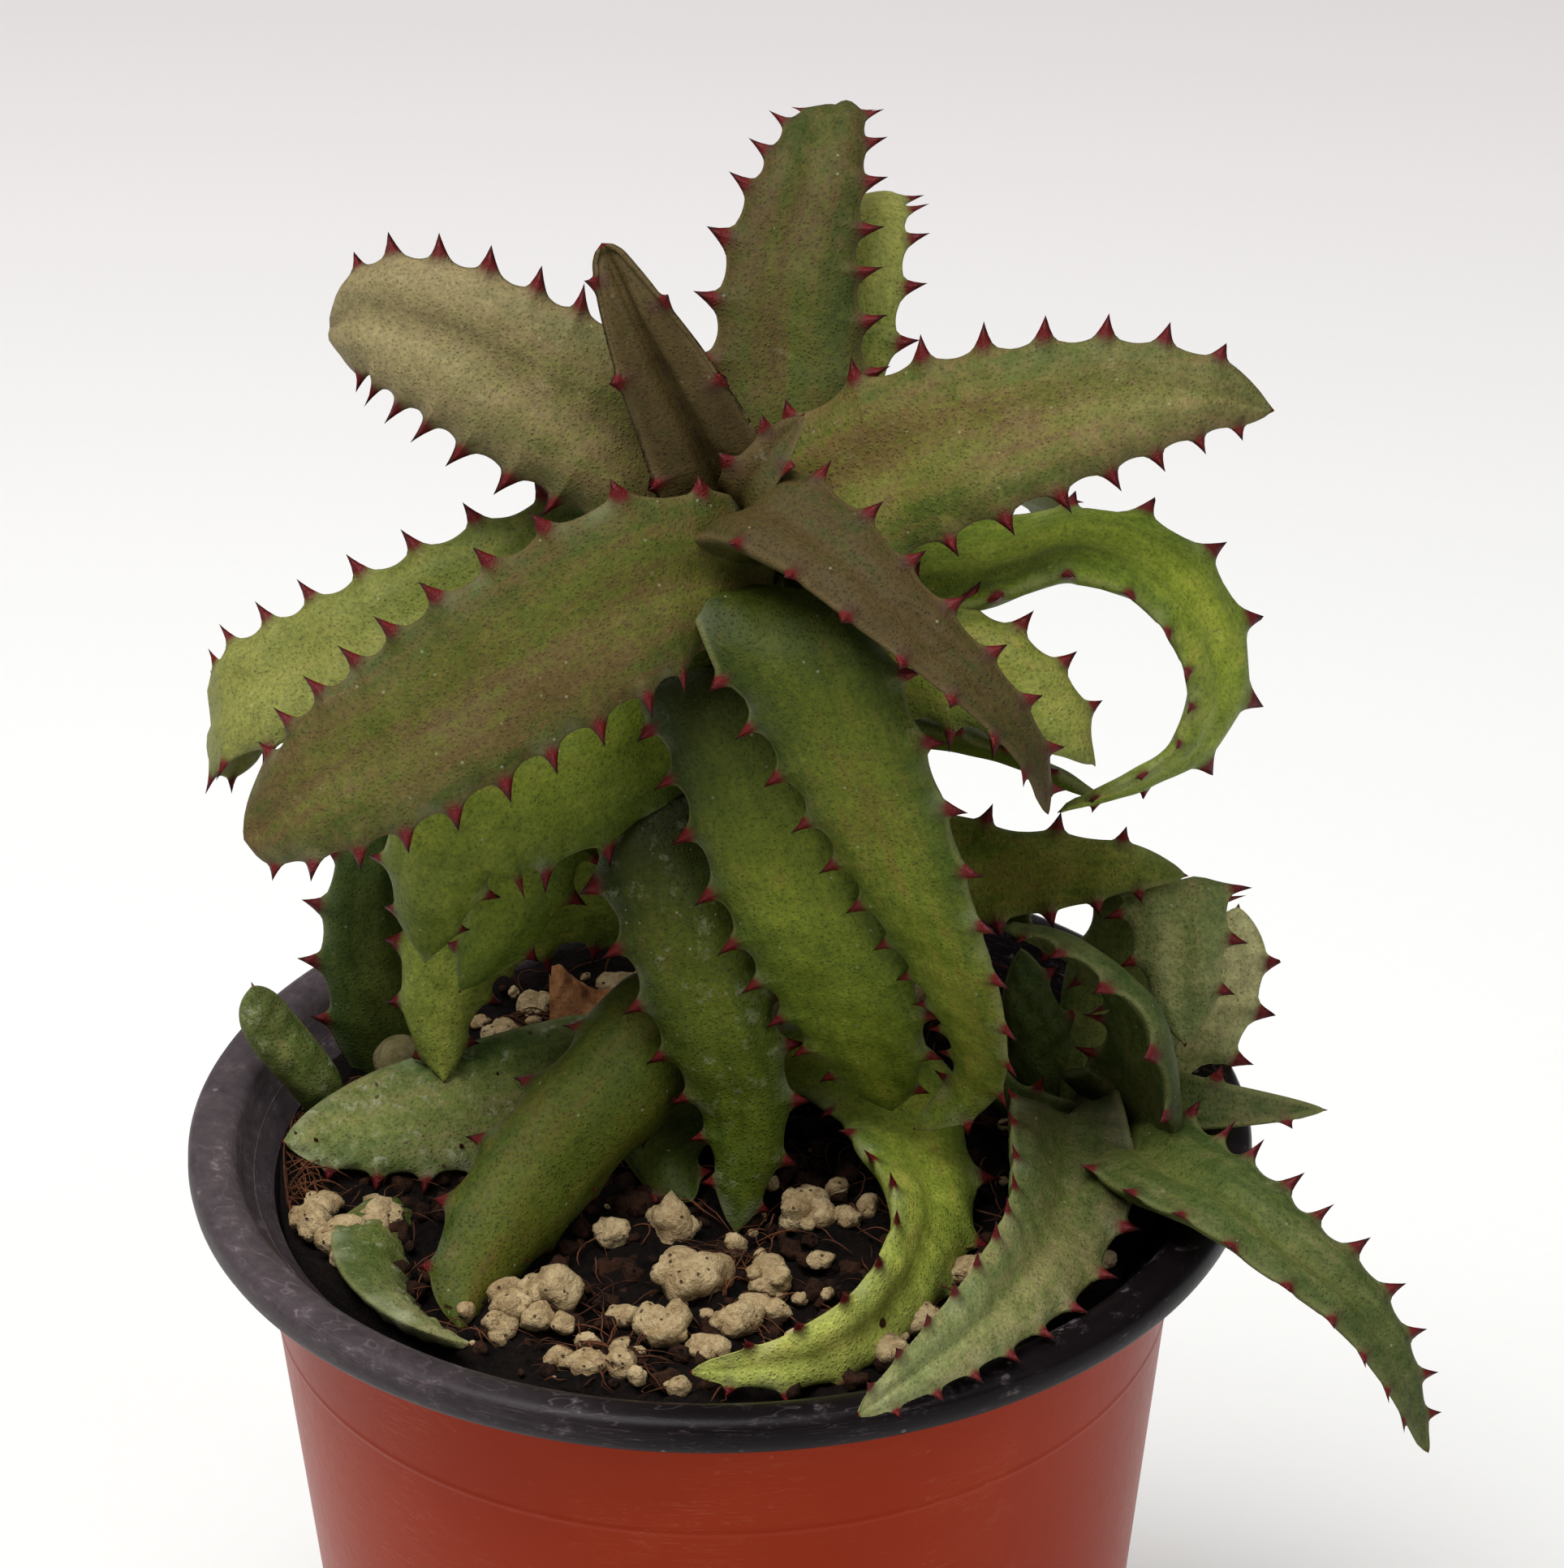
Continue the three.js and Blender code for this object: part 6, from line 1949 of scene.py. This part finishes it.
    def _strand(
        self,
        rng: random.Random,
        at: np.ndarray,
        length: float,
        radius: float,
        bend: float,
    ) -> np.ndarray:
        """Corners of one four-sided strand that wanders over the soil.

        Args:
            rng: the numbers to draw from.
            at: where it starts.
            length: its length.
            radius: its radius.
            bend: how far it turns at each step, in radians.

        Returns:
            The corners, ring after ring.
        """
        heading = rng.uniform(0, math.tau)
        steps = self.strand_steps
        lift = rng.uniform(0.2, 1.3)
        points = []
        at = at / max(1.0, np.linalg.norm(at) / self.strand_reach)
        for step in range(steps):
            rise = lift * math.sin(math.pi * step / (steps - 1)) + 0.25
            points.append([at[0], at[1], self._surface_z(at[0], at[1]) + rise])
            heading += rng.uniform(-bend, bend)
            at = at + np.array([math.cos(heading), math.sin(heading)]) * length / steps
            at = at / max(1.0, np.linalg.norm(at) / self.strand_reach)
        points = np.array(points)
        along = unit(np.gradient(points, axis=0) + 1e-9)
        side = unit(np.cross(along, np.array([0, 0, 1.0])))
        up = np.cross(side, along)
        thin = radius * np.sin(np.linspace(0.35, math.pi - 0.35, steps))[:, None]
        corners = [points + side * thin, points + up * thin, points - side * thin, points - up * thin]
        return np.stack(corners, 1).reshape(-1, 3)

    def build(self) -> None:
        """Builds the soil and all that lies in it."""
        declare(self.ground(SOIL_AND_SHADE_FINISH.build()), ("soil",), "soil")
        for piece in self.pumice(PUMICE_FINISH.build()):
            declare(piece, (), "soil")
        declare(self.rubble(CRUMB_FINISH.build()), (), "soil")
        declare(self.fibre_mat(FIBRE_FINISH.build()), (), "soil")
        declare(WitheredLeaf().build(DRY_FINISH.build()), ("leaf_withered",), "dry_leaf")


# Pot

@dataclass(frozen=True)
class Pot:
    """The nursery pot: a tapered terracotta wall on a ring foot, under a dark rolled lip."""

    height: float = 88.0
    lip_radius: float = 50.0
    throat: float = 45.2
    lip_depth: float = 3.6
    top_radius: float = 44.2
    taper: float = 0.11
    wall: float = 1.6
    foot_width: float = 4.0
    foot_height: float = 2.4
    floor: float = 2.0
    hub: float = 11.0
    bead_depth: float = 17.2
    bead: float = 0.07
    bead_half: float = 0.12
    bead_sides: tuple[float, ...] = (0.3, 0.6, 1.2)
    sides: int = 192
    drain_holes: int = 6
    drain_radius: float = 3.2
    drain_ring: float = 20.0
    drill_depth: float = 20.0
    soften: float = 0.35
    soften_angle: float = 38.0
    smooth_angle: float = 35.0

    def _outer(self, z: float) -> float:
        """Outside radius of the wall at a height."""
        return self.top_radius - (self.height - z) * self.taper

    def _profile(self) -> list[Pair]:
        """Draws half of the pot's section.

        Returns:
            Radius and height from the middle of the underside, out and up, and down inside.
        """
        under_lip = self.height - self.lip_depth
        bead_z = self.height - self.bead_depth
        foot_inner = self._outer(0) - self.foot_width
        below = [0.0, 0.8, 12.0, 30.0, 50.0] + [bead_z - away for away in reversed(self.bead_sides)]
        outside = [(self._outer(z), z) for z in below]
        proud = self._outer(bead_z) + self.bead
        outside += [(proud, bead_z - self.bead_half), (proud, bead_z + self.bead_half)]
        above = [bead_z + away for away in self.bead_sides] + [78.0, under_lip - 0.6]
        outside += [(self._outer(z), z) for z in above]
        outer_lip = ((-1.0, 0.0), (-0.45, 0.2), (-0.15, 0.7), (0.0, 1.5))
        upper_lip = (
            (-0.05, -0.95), (-0.4, -0.4), (-1.1, -0.08), (-2.1, 0.0), (-3.2, -0.12), (-4.1, -0.5),
            (-4.7, -1.15),
        )
        lip = [(self._outer(under_lip), under_lip + 0.25)]
        lip += [(self.lip_radius + out, under_lip + rise) for out, rise in outer_lip]
        lip += [(self.lip_radius + out, self.height + rise) for out, rise in upper_lip]
        lip.append((self.throat - 0.15, self.height - 2.2))
        floor_top = self.foot_height + self.floor
        inside_top = under_lip - self.wall
        inside = [(self._outer(z) - self.wall, z) for z in (inside_top, 60.0, 30.0, floor_top)]
        under = [(self.hub, 0.0), (self.hub + 1.0, self.foot_height)]
        under += [(foot_inner - 1.0, self.foot_height), (foot_inner, 0.0)]
        return under + outside + lip + inside

    def _turn(self) -> bpy.types.Object:
        """Draws the profile out of a ring, step by step, and closes its middle.

        Returns:
            The pot without its drain holes, in metres.
        """
        profile = self._profile()
        start_radius, start_z = profile[0]
        deselect()
        bpy.ops.mesh.primitive_circle_add(
            vertices=self.sides, radius=start_radius * MM, location=(0, 0, start_z * MM), fill_type="NGON",
        )
        pot = bpy.context.object
        bpy.ops.object.mode_set(mode="EDIT")
        bpy.ops.mesh.select_mode(type="EDGE")
        bpy.ops.mesh.select_all(action="SELECT")
        radius, z = start_radius, start_z
        for next_radius, next_z in profile[1:]:
            bpy.ops.mesh.extrude_edges_move(
                MESH_OT_extrude_edges_indiv={}, TRANSFORM_OT_translate={"value": (0, 0, (next_z - z) * MM)},
            )
            share = next_radius / radius
            bpy.ops.transform.resize(value=(share, share, 1.0))
            radius, z = next_radius, next_z
        bpy.ops.mesh.edge_face_add()
        bpy.ops.mesh.select_all(action="SELECT")
        bpy.ops.mesh.remove_doubles(threshold=0.000001)
        bpy.ops.mesh.normals_make_consistent(inside=False)
        bpy.ops.object.mode_set(mode="OBJECT")
        return pot

    def _drill(self, pot: bpy.types.Object) -> None:
        """Cuts the drain holes through the floor.

        Args:
            pot: the pot, which is changed in place.
        """
        deselect()
        for hole in range(self.drain_holes):
            angle = hole / self.drain_holes * math.tau
            ring = self.drain_ring * MM
            bpy.ops.mesh.primitive_cylinder_add(
                vertices=32, radius=self.drain_radius * MM, depth=self.drill_depth * MM,
                location=(ring * math.cos(angle), ring * math.sin(angle), 0),
            )
            drill = bpy.context.object
            cut = pot.modifiers.new("drain", "BOOLEAN")
            cut.operation = "DIFFERENCE"
            cut.solver = "EXACT"
            cut.object = drill
            pick(pot)
            bpy.ops.object.modifier_apply(modifier=cut.name)
            bpy.data.objects.remove(drill)

    def _soften(self, pot: bpy.types.Object) -> None:
        """Rounds the pot's sharp edges and shades it smooth.

        Args:
            pot: the pot, which is changed in place.
        """
        bevel = pot.modifiers.new("soften", "BEVEL")
        bevel.width = self.soften * MM
        bevel.segments = 2
        bevel.limit_method = "ANGLE"
        bevel.angle_limit = math.radians(self.soften_angle)
        pick(pot)
        bpy.ops.object.modifier_apply(modifier=bevel.name)
        bpy.ops.object.shade_smooth_by_angle(angle=math.radians(self.smooth_angle))

    def _paint(self, pot: bpy.types.Object) -> None:
        """Gives the outside its terracotta, and the lip and the inside their dark plastic.

        Args:
            pot: the pot, which is changed in place.
        """
        pot.data.materials.clear()
        pot.data.materials.append(WALL_FINISH.build())
        pot.data.materials.append(LIP_FINISH.build())
        under_lip = self.height - self.lip_depth
        for face in pot.data.polygons:
            x, y, z = (value / MM for value in face.center)
            faces_out = face.normal.x * x + face.normal.y * y > -0.3 * math.hypot(x, y)
            outside = math.hypot(x, y) > self._outer(z) - self.wall / 2 and z < under_lip + 0.1
            beneath = z < self.foot_height + 0.2
            face.material_index = 0 if (outside and faces_out) or beneath else 1

    def build(self) -> None:
        """Builds the pot."""
        pot = self._turn()
        self._drill(pot)
        self._soften(pot)
        self._paint(pot)
        pot.name = "fine_pot"
        pot.data.transform(pot.matrix_world)
        pot.matrix_world = Matrix.Identity(4)
        declare(pot, ("pot",), "pot_plastic")


# Studio

@dataclass(frozen=True)
class Studio:
    """The pale table, the soft lights and the camera at the photograph's angle."""

    distance: float = 750.0
    elevation: float = 29.76
    roll: float = -0.47
    aim: Point = (6.1, 0.0, 124.8)
    focal_pixels: float = 10072.0
    image_height: float = 1932.0
    sensor: float = 36.0
    floor_half: float = 2.5
    key: tuple[Point, float, float] = ((-0.3, -0.16, 1.2), 0.8, 17.2)
    fill: tuple[Point, float, float] = ((0.6, -0.7, 0.85), 0.8, 3.0)
    lamp_aim: Point = (0.0, 0.0, 0.12)
    world: float = 0.215
    world_colour: Colour = (1.0, 0.985, 0.975)

    def camera(self) -> None:
        """Stands the camera where the photograph was taken from."""
        data = bpy.data.cameras.new("camera")
        data.sensor_width = self.sensor
        data.sensor_fit = "AUTO"
        data.lens = self.focal_pixels / self.image_height * self.sensor
        camera = bpy.data.objects.new("camera", data)
        tilt = math.radians(self.elevation)
        turn = math.radians(self.roll)
        forward = Vector((0, math.cos(tilt), -math.sin(tilt)))
        right = Vector((1, 0, 0))
        up = right.cross(forward)
        rolled_right = right * math.cos(turn) + up * math.sin(turn)
        rolled_up = up * math.cos(turn) - right * math.sin(turn)
        axes = Matrix((rolled_right, rolled_up, -forward)).transposed().to_4x4()
        place = (Vector(self.aim) - forward * self.distance) * MM
        camera.matrix_world = Matrix.Translation(place) @ axes
        bpy.context.scene.collection.objects.link(camera)
        bpy.context.scene.camera = camera

    def _lamp(self, name: str, place: Point, size: float, power: float) -> None:
        """Hangs one square soft light that points at lamp_aim in the plant.

        Args:
            name: the light's name.
            place: where it hangs, in metres.
            size: its side in metres.
            power: its power in watts.
        """
        data = bpy.data.lights.new(name, "AREA")
        data.shape = "SQUARE"
        data.size = size
        data.energy = power
        lamp = bpy.data.objects.new(name, data)
        direction = Vector(self.lamp_aim) - Vector(place)
        turn = direction.to_track_quat("-Z", "Y").to_matrix().to_4x4()
        lamp.matrix_world = Matrix.Translation(place) @ turn
        bpy.context.scene.collection.objects.link(lamp)

    def lights(self) -> None:
        """Lights the scene."""
        self._lamp("key", *self.key)
        self._lamp("fill", *self.fill)
        world = bpy.data.worlds.new("studio")
        world.use_nodes = True
        background = world.node_tree.nodes["Background"]
        background.inputs["Color"].default_value = (*self.world_colour, 1.0)
        background.inputs["Strength"].default_value = self.world
        bpy.context.scene.world = world
        bpy.context.scene.view_settings.view_transform = "Standard"

    def floor(self) -> None:
        """Lays the table top."""
        deselect()
        bpy.ops.mesh.primitive_plane_add(size=self.floor_half * 2)
        table = bpy.context.object
        table.name = "table"
        table.data.materials.append(FloorFinish().build())

    def build(self) -> None:
        """Sets the scene round the object."""
        self.camera()
        self.lights()
        self.floor()
        LOG.info("studio: camera, lights and table")


def main() -> None:
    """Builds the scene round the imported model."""
    logging.basicConfig(level=logging.INFO, format="%(name)s: %(message)s")
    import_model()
    Studio().build()
    Pot().build()
    Soil().build()
    Plant().build()


if __name__ == "__main__":
    main()
